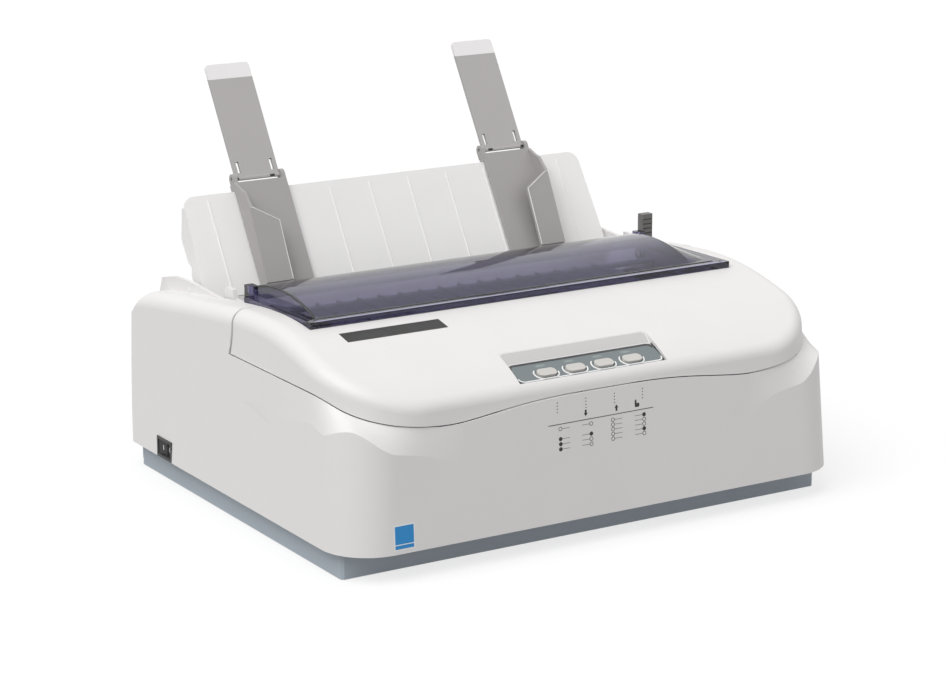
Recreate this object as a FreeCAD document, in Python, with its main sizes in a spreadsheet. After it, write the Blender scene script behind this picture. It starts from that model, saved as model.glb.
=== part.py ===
import FreeCAD, Part
import math
import os
import Sketcher
from FreeCAD import Placement, Rotation, Vector

# Dot matrix printer with a hinged hood, a hinged window in it, a folding paper table and its
# print and feed mechanism. X runs across the front, Y from front to back, Z up, in millimetres.
# The sub-parts are drawn with Y counted from the case's lower front edge, and their placement
# moves them back so that the origin lies under the middle of the whole printer.

doc = FreeCAD.newDocument("DotMatrixPrinter")
sheet = doc.addObject("Spreadsheet::Sheet", "Sizes")

X_AXIS = Vector(1, 0, 0)
Y_AXIS = Vector(0, 1, 0)
Z_AXIS = Vector(0, 0, 1)

DRIVING_SIZES = (
    # General
    ("overrun", 2.0),
    ("running_gap", 0.06),
    ("part_gap", 0.3),
    ("hood_gap", 0.8),
    # Case
    ("case_width", 416.0),
    ("case_depth", 341.0),
    ("crest_height", 155.6),
    ("case_corner", 36.0),
    ("case_rear_corner", 12.0),
    ("case_wall", 2.6),
    ("crest_round", 11.0),
    ("wall_draft", 3.1),
    ("case_lip", 14.0),
    ("post_radius", 5.0),
    ("ledge_drop", 9.0),
    # Base tray and feet
    ("base_height", 20.0),
    ("tray_width", 398.0),
    ("tray_front", 30.0),
    ("tray_back", 334.0),
    ("tray_wall", 3.0),
    ("tray_chamfer", 3.0),
    ("foot_height", 2.0),
    ("foot_radius", 9.0),
    ("foot_inset", 22.0),
    # Hood
    ("hood_corner", 60.0),
    ("hood_rear", 178.0),
    ("gap_middle_height", 109.0),
    ("gap_lobe_height", 101.5),
    ("gap_side_height", 125.0),
    ("opening_front", 108.0),
    ("opening_half_width", 171.0),
    ("rail_width", 16.0),
    ("rail_depth", 6.5),
    ("hood_axis_back", 230.0),
    ("hood_axis_height", 140.0),
    ("hood_pin_radius", 3.0),
    ("arm_plate_thickness", 3.4),
    ("arm_plate_foot", 134.0),
    # Window cover
    ("cover_half_width", 177.0),
    ("cover_front", 104.0),
    ("cover_back", 213.0),
    ("cover_seat_front", 152.6),
    ("cover_seat_back", 150.0),
    ("cover_rim_height", 5.0),
    ("cover_wall", 2.2),
    ("dome_half_width", 168.0),
    ("dome_bend", 150.0),
    ("dome_end_share", 0.17),
    ("dome_front", 112.0),
    ("dome_foot_height", 156.0),
    ("dome_crest_back", 166.0),
    ("dome_crest_height", 167.6),
    ("dome_rear_height", 160.0),
    ("cover_axis_back", 209.5),
    ("cover_axis_height", 145.2),
    ("cover_pin_radius", 2.2),
    ("cover_lug_thickness", 4.0),
    ("cover_lug_radius", 4.2),
    ("cover_ear_width", 13.5),
    ("cover_ear_depth", 7.0),
    ("cover_ear_height", 161.5),
    ("seat_slope", 24.0),
    # Cheeks beside the well and the rear deck
    ("cheek_half_width", 178.0),
    ("cheek_thickness", 3.0),
    ("cheek_foot", 118.0),
    ("deck_front", 262.0),
    ("deck_height", 127.0),
    ("wing_rise", 0.4),
    # Control panel
    ("panel_front", 11.2),
    ("panel_height", 119.4),
    ("panel_slope", 22.9),
    ("panel_middle", -6.4),
    ("film_width", 120.0),
    ("film_depth", 20.6),
    ("film_corner", 5.0),
    ("film_thickness", 1.0),
    ("housing_depth", 8.4),
    ("housing_side", 4.0),
    ("bracket_thickness", 2.4),
    ("bracket_half_width", 34.0),
    ("bracket_foot", 84.0),
    ("panel_board_thickness", 1.6),
    ("switch_height", 1.4),
    ("button_pitch", 23.6),
    ("button_length", 15.0),
    ("button_width", 7.4),
    ("button_rise", 1.7),
    ("button_place", 6.6),
    ("button_travel", 1.0),
    ("light_length", 7.0),
    ("light_width", 1.8),
    ("light_place", 14.6),
    # Name plate
    ("plate_length", 79.0),
    ("plate_depth", 13.6),
    ("plate_thickness", 1.0),
    ("plate_left", -162.0),
    ("plate_front", 78.8),
    ("plate_lift", 146.9),
    ("plate_slope", 11.3),
    # Paper table
    ("table_foot_back", 271.0),
    ("table_foot_height", 150.0),
    ("table_lean", 31.5),
    ("table_half_width", 176.5),
    ("table_top_narrowing", 2.5),
    ("table_reach", 68.0),
    ("table_below", 12.0),
    ("table_thickness", 2.6),
    ("table_corner", 9.0),
    ("table_pin_radius", 3.4),
    ("table_pin_up", 0.8),
    ("table_pin_behind", 14.7),
    ("skirt_depth", 19.0),
    ("table_rib_pitch", 34.2),
    ("table_rib_width", 0.9),
    ("table_rib_height", 0.5),
    ("table_rib_count", 10.0),
    # Edge guides on the table
    ("guide_outer", 131.0),
    ("guide_width", 44.0),
    ("guide_thickness", 2.4),
    ("guide_below", 9.0),
    ("guide_top", 74.0),
    ("guide_wall_top", 49.5),
    ("guide_wall_height", 17.5),
    ("guide_wall_foot_height", 12.5),
    ("guide_lip_width", 22.0),
    ("guide_lip_slant", 12.5),
    ("hook_grip", 7.0),
    ("hook_thickness", 1.6),
    ("ear_thickness", 3.0),
    ("ear_radius", 4.0),
    # Extension arms
    ("arm_axis_up", 78.0),
    ("arm_axis_behind", 1.0),
    ("arm_pin_radius", 1.5),
    ("arm_width", 36.5),
    ("arm_inset", 1.0),
    ("arm_thickness", 2.6),
    ("arm_top", 170.0),
    ("arm_corner", 3.0),
    ("arm_slot_width", 2.6),
    ("arm_slot_length", 9.0),
    ("arm_slot_inset", 3.0),
    ("arm_slot_foot", 82.0),
    # Mechanism frame
    ("frame_inner", 170.0),
    ("frame_thickness", 2.0),
    ("frame_foot_height", 8.0),
    ("frame_foot_width", 14.0),
    ("floor_plate_height", 24.0),
    ("floor_plate_thickness", 1.5),
    ("floor_plate_front", 104.0),
    ("floor_plate_back", 206.0),
    # Platen and paper feed
    ("platen_back", 205.0),
    ("platen_height", 112.0),
    ("platen_radius", 17.0),
    ("platen_half_length", 140.0),
    ("shaft_radius", 5.0),
    ("bush_radius", 8.0),
    ("bush_length", 4.4),
    ("gear_module", 1.0),
    ("platen_teeth", 48.0),
    ("idler_teeth", 36.0),
    ("tractor_teeth", 36.0),
    ("pinion_teeth", 16.0),
    ("tooth_backlash", 0.24),
    ("gear_width", 6.0),
    ("gear_offset", 4.2),
    ("idler_angle", -69.0),
    ("pinion_angle", -65.0),
    ("tractor_angle", 19.5),
    ("idler_stud_radius", 3.0),
    ("pinion_shaft_radius", 2.5),
    ("feed_motor_size", 42.0),
    ("feed_motor_length", 26.0),
    ("motor_hole_radius", 11.0),
    ("knob_radius", 16.0),
    ("knob_width", 12.6),
    ("knob_outer", 207.0),
    ("knob_flute_radius", 2.2),
    ("knob_flutes", 14.0),
    ("dish_radius", 21.0),
    ("dish_thickness", 2.2),
    ("roller_radius", 11.0),
    ("roller_length", 24.0),
    ("roller_shaft_radius", 2.5),
    ("roller_place", 46.0),
    ("roller_angle", -107.0),
    ("tractor_shaft_radius", 3.0),
    ("tractor_rail_up", 22.4),
    ("tractor_width", 22.0),
    ("tractor_place", 108.0),
    ("tractor_length", 44.0),
    ("tractor_thickness", 26.0),
    ("chute_thickness", 1.6),
    ("separator_thickness", 1.6),
    ("separator_front", 151.0),
    ("separator_back", 202.0),
    ("separator_height", 142.6),
    ("separator_drop", 4.0),
    ("separator_rib_height", 1.6),
    # Carriage and print head
    ("rod_back", 150.0),
    ("rod_height", 92.0),
    ("rod_radius", 4.0),
    ("carriage_width", 60.0),
    ("carriage_depth", 33.0),
    ("carriage_bottom", 84.0),
    ("carriage_top", 100.0),
    ("rail_front", 100.0),
    ("rail_shelf", 10.0),
    ("rail_flange", 10.0),
    ("rail_height", 97.5),
    ("rail_thickness", 1.5),
    ("carriage_foot_width", 24.0),
    ("carriage_foot_thickness", 3.0),
    ("head_width", 32.0),
    ("head_height", 19.0),
    ("head_front", 136.0),
    ("head_shoulder", 176.0),
    ("head_nose_back", 184.8),
    ("head_nose_width", 14.0),
    ("head_nose_height", 9.0),
    ("sink_front", 148.0),
    ("sink_length", 26.0),
    ("sink_height", 15.0),
    ("sink_fins", 7.0),
    ("sink_base", 3.0),
    ("sink_fin_thickness", 1.4),
    ("belt_back", 124.5),
    ("belt_bottom", 85.0),
    ("belt_height", 6.0),
    ("belt_thickness", 1.2),
    ("pulley_radius", 6.9),
    ("pulley_place", 150.0),
    ("pulley_flange", 1.2),
    ("pulley_flange_radius", 8.2),
    ("pulley_shaft_radius", 2.0),
    ("carriage_motor_size", 36.0),
    ("carriage_motor_length", 34.0),
    ("motor_bracket_thickness", 1.5),
    ("tensioner_thickness", 3.0),
    ("tensioner_depth", 12.0),
    # Ribbon
    ("cartridge_front", 110.0),
    ("cartridge_depth", 33.0),
    ("cartridge_bottom", 126.0),
    ("cartridge_height", 13.0),
    ("cartridge_arm_width", 9.4),
    ("cartridge_arm_back", 191.0),
    ("cartridge_arm_bottom", 104.0),
    ("cartridge_lug_depth", 12.0),
    ("cartridge_lug_height", 5.0),
    ("ribbon_width", 13.0),
    ("ribbon_thickness", 0.6),
    ("ribbon_front", 185.9),
    ("ribbon_knob_radius", 9.0),
    ("ribbon_knob_height", 6.0),
    ("ribbon_knob_place", 112.0),
    # Paper lever
    ("lever_inner", 182.6),
    ("lever_width", 7.4),
    ("lever_grip_width", 9.6),
    ("lever_grip_foot", 143.0),
    ("lever_depth", 6.0),
    ("lever_back", 228.0),
    ("lever_pivot_height", 100.0),
    ("lever_top", 170.0),
    ("lever_hub_radius", 7.0),
    ("lever_stud_radius", 3.0),
    ("lever_slot_length", 30.0),
    ("lever_slot_margin", 1.2),
    # Electrics
    ("board_front", 112.0),
    ("board_back", 326.0),
    ("board_left", 14.0),
    ("board_right", 150.0),
    ("board_height", 9.0),
    ("board_thickness", 1.6),
    ("capacitor_radius", 9.0),
    ("capacitor_height", 11.0),
    ("chip_size", 28.0),
    ("chip_height", 3.4),
    ("supply_left", -180.0),
    ("supply_right", -44.0),
    ("supply_front", 276.5),
    ("supply_back", 319.0),
    ("supply_height", 46.0),
    ("inlet_width", 28.0),
    ("inlet_height", 22.0),
    ("inlet_place", -150.0),
    ("inlet_bottom", 26.0),
    ("inlet_depth", 18.0),
    ("port_width", 74.0),
    ("port_height", 14.0),
    ("port_place", 78.0),
    ("small_port_width", 13.0),
    ("small_port_height", 11.5),
    ("small_port_place", 138.0),
    ("port_bottom", 26.0),
    ("port_depth", 16.0),
    # Power switch on the left side
    ("switch_front", 265.0),
    ("switch_length", 24.5),
    ("switch_frame_height", 15.6),
    ("switch_frame_depth", 16.0),
    ("switch_rim", 2.0),
    ("rocker_thickness", 6.0),
    ("rocker_dip", 1.4),
    ("rocker_tilt", 6.0),
)

# Places along the crest line, from the front wall to the rear slant, as shares of the case's
# depth and of the crest's height.
CREST_BACK_SHARES = (-0.012, 0.035, 0.108, 0.232, 0.352, 0.455, 0.600, 0.718, 0.842, 0.924, 1.02)
CREST_HEIGHT_SHARES = (
    0.694, 0.782, 0.864, 0.949, 0.9936, 0.9975, 0.972, 0.943, 0.909, 0.882, 0.842,
)
REAR_SLANT_SHARES = ((0.950, 0.861), (1.020, 0.700))

# The wavy front edge of the hood, outwards from the middle, as shares of half the case's width
# and, between the lobe (0) and the middle (1) or the side (2), of its height.
GAP_WIDTH_SHARES = (0.0, 0.14, 0.34, 0.49, 0.60, 0.70, 0.80, 0.88, 0.927, 0.96, 0.985, 1.0)
GAP_RISE_SHARES = (1.0, 1.0, 0.70, 0.22, 0.0, 0.06, 0.18, 0.36, 0.56, 0.80, 0.95, 1.0)


class Size:
    """A length or angle of the sheet, or a sum of such values, together with its formula."""

    def __init__(self, value, formula):
        self.value = value
        self.formula = formula

    def joined(self, other, sign, value, swap=False):
        first, second = (other, self) if swap else (self, other)
        return Size(value, f"({first.formula} {sign} {second.formula})")

    def __add__(self, other):
        other = as_size(other)
        return self.joined(other, "+", self.value + other.value)

    def __radd__(self, other):
        return as_size(other) + self

    def __sub__(self, other):
        other = as_size(other)
        return self.joined(other, "-", self.value - other.value)

    def __rsub__(self, other):
        return as_size(other) - self

    def __mul__(self, other):
        other = as_size(other)
        return self.joined(other, "*", self.value * other.value)

    def __rmul__(self, other):
        return as_size(other) * self

    def __truediv__(self, other):
        other = as_size(other)
        return self.joined(other, "/", self.value / other.value)

    def __neg__(self):
        return Size(-self.value, f"(0 - {self.formula})")


def as_size(number):
    return number if isinstance(number, Size) else Size(float(number), repr(float(number)))


def value(number):
    return as_size(number).value


def sine(angle):
    return Size(math.sin(math.radians(angle.value)), f"sin({angle.formula})")


def cosine(angle):
    return Size(math.cos(math.radians(angle.value)), f"cos({angle.formula})")


class Sheet:
    """The sheet's sizes by name."""


def fill_sheet():
    sizes = Sheet()
    for row, (name, number) in enumerate(DRIVING_SIZES, start=1):
        cell = f"A{row}"
        sheet.set(cell, repr(number))
        sheet.setAlias(cell, name)
        setattr(sizes, name, Size(number, f"Sizes.{name}"))
    doc.recompute()
    return sizes


s = fill_sheet()

# Sizes worked out from the driving ones
half_width = s.case_width / 2
arm_back = s.arm_axis_behind + s.arm_thickness / 2
arm_top_back = s.table_foot_back + s.arm_top * sine(s.table_lean) + arm_back * cosine(s.table_lean)
origin_setback = arm_top_back / 2
tray_floor = s.foot_height + s.tray_wall


class Plain:
    """The sheet's sizes by name as plain numbers, for shapes made by functions."""


def plain_sizes():
    numbers = Plain()
    for name, _ in DRIVING_SIZES:
        setattr(numbers, name, float(getattr(sheet, name)))
    return numbers


n = plain_sizes()
setback = value(origin_setback)


# Drawing help


def bind(thing, path, amount):
    thing.setExpression(path, as_size(amount).formula)


def circle(across, up, radius):
    return ("circle", across, up, radius)


def rectangle(left, low, right, high):
    return [(left, low), (right, low), (right, high), (left, high)]


def rounded(left, low, right, high, radius):
    """A rectangle whose corners are arcs; a third entry makes an arc up to the next point."""
    return [
        (left + radius, low), (right - radius, low, radius),
        (right, low + radius), (right, high - radius, radius),
        (right - radius, high), (left + radius, high, radius),
        (left, high - radius), (left, low + radius, radius),
    ]


def arc_between(start, end, radius):
    """The arc that turns left on its way from start to end."""
    middle = (start + end) / 2
    chord = end - start
    aside = Vector(-chord.y, chord.x, 0) / chord.Length
    height = math.sqrt(max(radius ** 2 - (chord.Length / 2) ** 2, 0))
    centre = middle + aside * height
    first = math.atan2(start.y - centre.y, start.x - centre.x)
    last = math.atan2(end.y - centre.y, end.x - centre.x)
    if last <= first:
        last += 2 * math.pi
    round_line = Part.Circle(centre, Z_AXIS, radius)
    return Part.ArcOfCircle(round_line, first, last)


def fix_point(sketch, line, end, across, up):
    for kind, amount in (("DistanceX", across), ("DistanceY", up)):
        number = sketch.addConstraint(Sketcher.Constraint(kind, -1, 1, line, end, value(amount)))
        bind(sketch, f"Constraints[{number}]", amount)


def draw(sketch, outline):
    """Draws a closed outline with every point held by the sheet's sizes."""
    if outline[0] == "circle":
        _, across, up, radius = outline
        centre = Vector(value(across), value(up), 0)
        line = sketch.addGeometry(Part.Circle(centre, Z_AXIS, value(radius)))
        fix_point(sketch, line, 3, across, up)
        number = sketch.addConstraint(Sketcher.Constraint("Radius", line, value(radius)))
        bind(sketch, f"Constraints[{number}]", radius)
        return
    spots = [Vector(value(corner[0]), value(corner[1]), 0) for corner in outline]
    lines = []
    for place, corner in enumerate(outline):
        start = spots[place]
        end = spots[(place + 1) % len(outline)]
        if len(corner) == 3:
            piece = arc_between(start, end, value(corner[2]))
        else:
            piece = Part.LineSegment(start, end)
        lines.append(sketch.addGeometry(piece))
    for place, line in enumerate(lines):
        sketch.addConstraint(Sketcher.Constraint("Coincident", lines[place - 1], 2, line, 1))
    for line, corner in zip(lines, outline):
        fix_point(sketch, line, 1, corner[0], corner[1])
        if len(corner) == 3:
            number = sketch.addConstraint(Sketcher.Constraint("Radius", line, value(corner[2])))
            bind(sketch, f"Constraints[{number}]", corner[2])


def settle(thing, label, back, height, across, slope):
    """Puts a piece in the printer's frame, tilted about the line across the printer if asked."""
    thing.Label = label
    shift = Vector(value(across), value(back - origin_setback), value(height))
    thing.Placement = Placement(shift, Rotation(X_AXIS, value(slope)))
    bind(thing, "Placement.Base.x", across)
    bind(thing, "Placement.Base.y", back - origin_setback)
    bind(thing, "Placement.Base.z", height)
    bind(thing, "Placement.Rotation.Angle", slope)


class Solid:
    """A body built up from sketches. Each feature runs from low to high along its own axis."""

    def __init__(self, label, back=as_size(0), height=0, across=0, slope=0):
        self.label = label
        self.body = doc.addObject("PartDesign::Body", label)
        self.steps = 0
        settle(self.body, label, as_size(back), height, across, slope)

    def plane(self, name):
        wanted = [part for part in self.body.Origin.OriginFeatures if part.Role == f"{name}_Plane"]
        return wanted[0]

    def sketch(self, plane, offset, outlines):
        self.steps += 1
        sketch = self.body.newObject("Sketcher::SketchObject", f"{self.label}_outline_{self.steps}")
        sketch.AttachmentSupport = (self.plane(plane), [""])
        sketch.MapMode = "FlatFace"
        bind(sketch, "AttachmentOffset.Base.z", offset)
        for outline in outlines:
            draw(sketch, outline)
        return sketch

    def feature(self, kind, plane, outlines, low, high):
        lengthwise = as_size(high) - low
        towards = low if kind == "Pad" else high
        if plane == "XZ":
            towards = -as_size(high) if kind == "Pad" else -as_size(low)
        sketch = self.sketch(plane, towards, outlines)
        made = self.body.newObject(f"PartDesign::{kind}", f"{self.label}_{kind.lower()}_{self.steps}")
        made.Profile = sketch
        made.Length = abs(value(lengthwise))
        bind(made, "Length", lengthwise)
        sketch.Visibility = False
        return made

    def pad(self, plane, outlines, low, high):
        self.feature("Pad", plane, outlines, low, high)
        return self

    def cut(self, plane, outlines, low, high):
        self.feature("Pocket", plane, outlines, low, high)
        return self

    def taper(self, kind, outline, end_outline, low, high):
        """Adds or takes away a straight run from one side view to another across the printer."""
        first = self.sketch("YZ", as_size(low), [outline])
        last = self.sketch("YZ", as_size(high), [end_outline])
        made = self.body.newObject(f"PartDesign::{kind}Loft", f"{self.label}_taper_{self.steps}")
        made.Profile = first
        made.Sections = [last]
        made.Ruled = True
        first.Visibility = False
        last.Visibility = False
        return self

    def soften(self, kind, radius, chosen):
        """Rounds (Fillet) or bevels (Chamfer) the edges whose middle the test accepts."""
        doc.recompute()
        tip = self.body.Tip
        names = []
        for number, edge in enumerate(tip.Shape.Edges, start=1):
            if chosen(edge.BoundBox):
                names.append(f"Edge{number}")
        self.steps += 1
        made = self.body.newObject(f"PartDesign::{kind}", f"{self.label}_edges_{self.steps}")
        made.Base = (tip, names)
        path = "Radius" if kind == "Fillet" else "Size"
        setattr(made, path, value(radius))
        bind(made, path, radius)
        return self


def both(side, inner, outer):
    """The stretch between two distances from the middle, on the left (-1) or the right (1)."""
    return (-as_size(outer), -as_size(inner)) if side < 0 else (as_size(inner), as_size(outer))


def near(first, second):
    return abs(first - second) < n.part_gap / 2


def flat_in(low, high, place):
    return near(low, place) and near(high, place)


# Places along the train of gears, seen from the side

platen_y = s.platen_back
platen_z = s.platen_height
platen_pitch = s.gear_module * s.platen_teeth / 2
idler_pitch = s.gear_module * s.idler_teeth / 2
tractor_pitch = s.gear_module * s.tractor_teeth / 2
pinion_pitch = s.gear_module * s.pinion_teeth / 2
idler_y = platen_y + (platen_pitch + idler_pitch) * cosine(s.idler_angle)
idler_z = platen_z + (platen_pitch + idler_pitch) * sine(s.idler_angle)
pinion_y = idler_y + (idler_pitch + pinion_pitch) * cosine(s.pinion_angle)
pinion_z = idler_z + (idler_pitch + pinion_pitch) * sine(s.pinion_angle)
tractor_y = idler_y + (idler_pitch + tractor_pitch) * cosine(s.tractor_angle)
tractor_z = idler_z + (idler_pitch + tractor_pitch) * sine(s.tractor_angle)
roller_distance = s.platen_radius + s.roller_radius + s.part_gap
roller_y = platen_y + roller_distance * cosine(s.roller_angle)
roller_z = platen_z + roller_distance * sine(s.roller_angle)
frame_outer = s.frame_inner + s.frame_thickness
gear_outer = s.frame_inner - s.gear_offset
gear_inner = gear_outer - s.gear_width
tray_left = -s.tray_width / 2
screw_x = s.tray_width / 2 - s.post_radius * 1.8
screw_y_front = s.tray_front + s.ledge_drop
screw_y_back = s.tray_back - s.ledge_drop
screw_radius = s.foot_height * 0.8
screw_spots = [(side * screw_x, y) for side in (-1, 1) for y in (screw_y_front, screw_y_back)]
post_top = s.base_height + s.case_lip


# Base tray and feet

def make_tray():
    tray = Solid("base_tray")
    inner = s.tray_wall
    outline = rectangle(tray_left, s.tray_front, -tray_left, s.tray_back)
    hollow = rectangle(tray_left + inner, s.tray_front + inner, -tray_left - inner, s.tray_back - inner)
    tray.pad("XY", [outline], s.foot_height, s.base_height)
    bottom = n.foot_height
    tray.soften("Chamfer", s.tray_chamfer, lambda box: flat_in(box.ZMin, box.ZMax, bottom))
    tray.cut("XY", [hollow], tray_floor, s.base_height)
    bosses = [circle(x, y, s.post_radius * 1.3) for x, y in screw_spots]
    tray.pad("XY", bosses, tray_floor, s.base_height)
    tray.cut("XY", [circle(x, y, screw_radius) for x, y in screw_spots], s.foot_height, s.base_height)
    heads = [circle(x, y, s.post_radius * 0.7) for x, y in screw_spots]
    tray.cut("XY", heads, s.foot_height, s.base_height / 2)
    foot = s.frame_foot_width
    strips = []
    for side in (-1, 1):
        left, right = both(side, s.frame_inner - foot, frame_outer)
        strips.append(rectangle(left, s.floor_plate_front, right, s.deck_front - foot))
    tray.pad("XY", strips, tray_floor, s.frame_foot_height)
    standoffs = []
    for x in (s.board_left + foot / 2, s.board_right - foot / 2):
        for y in (s.board_front + foot / 2, s.board_back - foot / 2):
            standoffs.append(circle(x, y, s.foot_height * 1.5))
    tray.pad("XY", standoffs, tray_floor, s.board_height)


def bar(label, radius, length, across, back, height, turn):
    """A round bar whose axis is turned from upright by the given rotation."""
    made = doc.addObject("Part::Cylinder", label)
    bind(made, "Radius", radius)
    bind(made, "Height", length)
    made.Placement = Placement(Vector(value(across), value(back), value(height)), turn)
    bind(made, "Placement.Base.x", across)
    bind(made, "Placement.Base.y", back)
    bind(made, "Placement.Base.z", height)
    return made


UPRIGHT = Rotation(Z_AXIS, 0)


def gather(label, pieces):
    """One named sub-part out of pieces that are the same or belong together."""
    made = doc.addObject("Part::MultiFuse", label)
    made.Shapes = pieces
    settle(made, label, as_size(0), 0, 0, 0)


def make_feet():
    pieces = []
    for side in (-1, 1):
        for back in (s.tray_front + s.foot_inset, s.tray_back - s.foot_inset):
            across = side * (s.tray_width / 2 - s.foot_inset)
            name = f"foot_{len(pieces) + 1}"
            pieces.append(bar(name, s.foot_radius, s.foot_height, across, back, 0, UPRIGHT))
    gather("rubber_feet", pieces)


def make_screws():
    pieces = []
    seat = s.base_height / 2
    for x, y in screw_spots:
        number = len(pieces) // 2 + 1
        head = s.foot_height
        pieces.append(bar(f"screw_head_{number}", screw_radius * 2, head, x, y, seat - head, UPRIGHT))
        pieces.append(bar(f"screw_shank_{number}", screw_radius, post_top - seat, x, y, seat, UPRIGHT))
    gather("case_screws", pieces)


# Case and hood


def prism(points, low, high):
    """A solid across the printer (X) from a closed outline of (y, z) points."""
    corners = [Vector(low, y, z) for y, z in points]
    wire = Part.makePolygon(corners + corners[:1])
    return Part.Face(wire).extrude(X_AXIS * (high - low))


def block(left, front, bottom, right, back, top):
    corner = Vector(left, front, bottom)
    return Part.makeBox(right - left, back - front, top - bottom, corner)


def rod_x(radius, low, high, back, height):
    return Part.makeCylinder(radius, high - low, Vector(low, back, height), X_AXIS)


def mirrored(shape):
    return shape.mirror(Vector(0, 0, 0), X_AXIS)


def plan_wire(inset, height, front_round):
    """The case's front and sides seen from above at one height; its walls lean in as they rise."""
    lean = inset + (height - n.base_height) * math.tan(math.radians(n.wall_draft))
    right = n.case_width / 2 - lean
    back = n.case_depth + n.case_lip
    radius = front_round - inset
    centre_y = lean + radius
    left_arc = Part.makeCircle(radius, Vector(radius - right, centre_y, height), Z_AXIS, 180, 270)
    right_arc = Part.makeCircle(radius, Vector(right - radius, centre_y, height), Z_AXIS, 270, 360)
    corners = [
        right_arc.Vertexes[-1].Point, Vector(right, back, height),
        Vector(-right, back, height), left_arc.Vertexes[0].Point,
    ]
    edges = [left_arc, Part.makeLine(left_arc.Vertexes[-1].Point, right_arc.Vertexes[0].Point), right_arc]
    for start, end in zip(corners, corners[1:]):
        edges.append(Part.makeLine(start, end))
    return Part.Wire(edges)


def crest_solid(lowering):
    """Everything under the crest line, right across the printer."""
    backs = [share * n.case_depth for share in CREST_BACK_SHARES]
    heights = [share * n.crest_height - lowering for share in CREST_HEIGHT_SHARES]
    side = -n.case_width
    line = Part.BSplineCurve()
    spots = [Vector(side, y, z) for y, z in zip(backs, heights)]
    line.interpolate(spots)
    floor = -n.overrun
    tail = [spots[-1], Vector(side, spots[-1].y, floor), Vector(side, spots[0].y, floor), spots[0]]
    edges = [line.toShape()]
    for start, end in zip(tail, tail[1:]):
        edges.append(Part.makeLine(start, end))
    return Part.Face(Part.Wire(edges)).extrude(X_AXIS * (2 * n.case_width))


def rear_limit(inset):
    """Everything in front of the rear wall, with its rounded corners and its slanted top."""
    back = n.case_depth - inset
    slant = [(y * n.case_depth - inset, z * n.crest_height) for y, z in REAR_SLANT_SHARES]
    rise = n.case_lip * 2
    run = (slant[1][0] - slant[0][0]) / (slant[0][1] - slant[1][1]) * rise
    front = -n.case_lip
    meet = (back - slant[0][0]) / (slant[1][0] - slant[0][0])
    line = [(front, front), (back, front), (back, slant[0][1] + meet * (slant[1][1] - slant[0][1]))]
    line += [(slant[0][0] - run, slant[0][1] + rise), (front, slant[0][1] + rise)]
    half = n.case_width / 2 - inset
    body = prism(line, -half, half)
    corners = [
        edge for edge in body.Edges
        if edge.BoundBox.YMin > back - n.part_gap and edge.BoundBox.ZLength > n.case_lip
    ]
    return body.makeFillet(n.case_rear_corner, corners)


def envelope(inset, lowering, front_round, edge_round):
    """The case's whole outside, or with an inset and a lowering its inside."""
    low = plan_wire(inset, n.base_height - (n.overrun if lowering else 0), front_round)
    high = plan_wire(inset, n.crest_height + n.case_lip, front_round)
    body = Part.makeLoft([low, high], True, True).common(crest_solid(lowering))
    least = n.crest_height * CREST_HEIGHT_SHARES[0]
    chosen = []
    for edge in body.Edges:
        box = edge.BoundBox
        across = box.YLength < n.part_gap and box.YMin > n.case_depth / 2
        if box.ZMin > least - lowering and not across:
            chosen.append(edge)
    return body.makeFillet(edge_round, chosen).common(rear_limit(inset))


def gap_height(across):
    """Height of the hood's front edge at a distance from the middle, straight between its knots."""
    half = n.case_width / 2
    widths = [share * half for share in GAP_WIDTH_SHARES]
    heights = gap_heights()
    for place in range(len(widths) - 1):
        if abs(across) <= widths[place + 1]:
            part = (abs(across) - widths[place]) / (widths[place + 1] - widths[place])
            return heights[place] + part * (heights[place + 1] - heights[place])
    return heights[-1]


def gap_heights():
    lobe = GAP_RISE_SHARES.index(0.0)
    heights = []
    for place, share in enumerate(GAP_RISE_SHARES):
        end = n.gap_middle_height if place < lobe else n.gap_side_height
        heights.append(n.gap_lobe_height + share * (end - n.gap_lobe_height))
    return heights


def above_gap(rise, clearance):
    """Everything above the wavy line between hood and case, in front of the hood's rear edge."""
    half = n.case_width / 2
    right = [(share * half, z) for share, z in zip(GAP_WIDTH_SHARES, gap_heights())]
    knots = [(-x, z) for x, z in reversed(right[1:])] + right
    front = -n.case_wall * 2
    curve = Part.BSplineCurve()
    curve.interpolate([Vector(x, front, z + rise) for x, z in knots])
    top = n.crest_height * 2
    wide = half + n.case_lip
    side = n.gap_side_height + rise
    corners = [Vector(half, front, side), Vector(wide, front, side), Vector(wide, front, top)]
    corners += [Vector(-wide, front, top), Vector(-wide, front, side), Vector(-half, front, side)]
    edges = [curve.toShape()]
    for start, end in zip(corners, corners[1:]):
        edges.append(Part.makeLine(start, end))
    face = Part.Face(Part.Wire(edges))
    region = face.extrude(Y_AXIS * (n.hood_axis_back - front))
    radius = hood_reach() + clearance
    return region.cut(rod_x(radius, -2 * half, 2 * half, n.hood_axis_back, n.hood_axis_height))


def hood_reach():
    """Distance from the hood's hinge line to its rear edge, which is rounded about that line."""
    run = n.hood_axis_back - n.hood_rear
    rise = n.crest_height - n.hood_axis_height
    return math.hypot(run, rise)


def seat_height(back):
    part = (back - n.cover_front) / (n.cover_back - n.cover_front)
    return n.cover_seat_front + part * (n.cover_seat_back - n.cover_seat_front)


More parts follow.
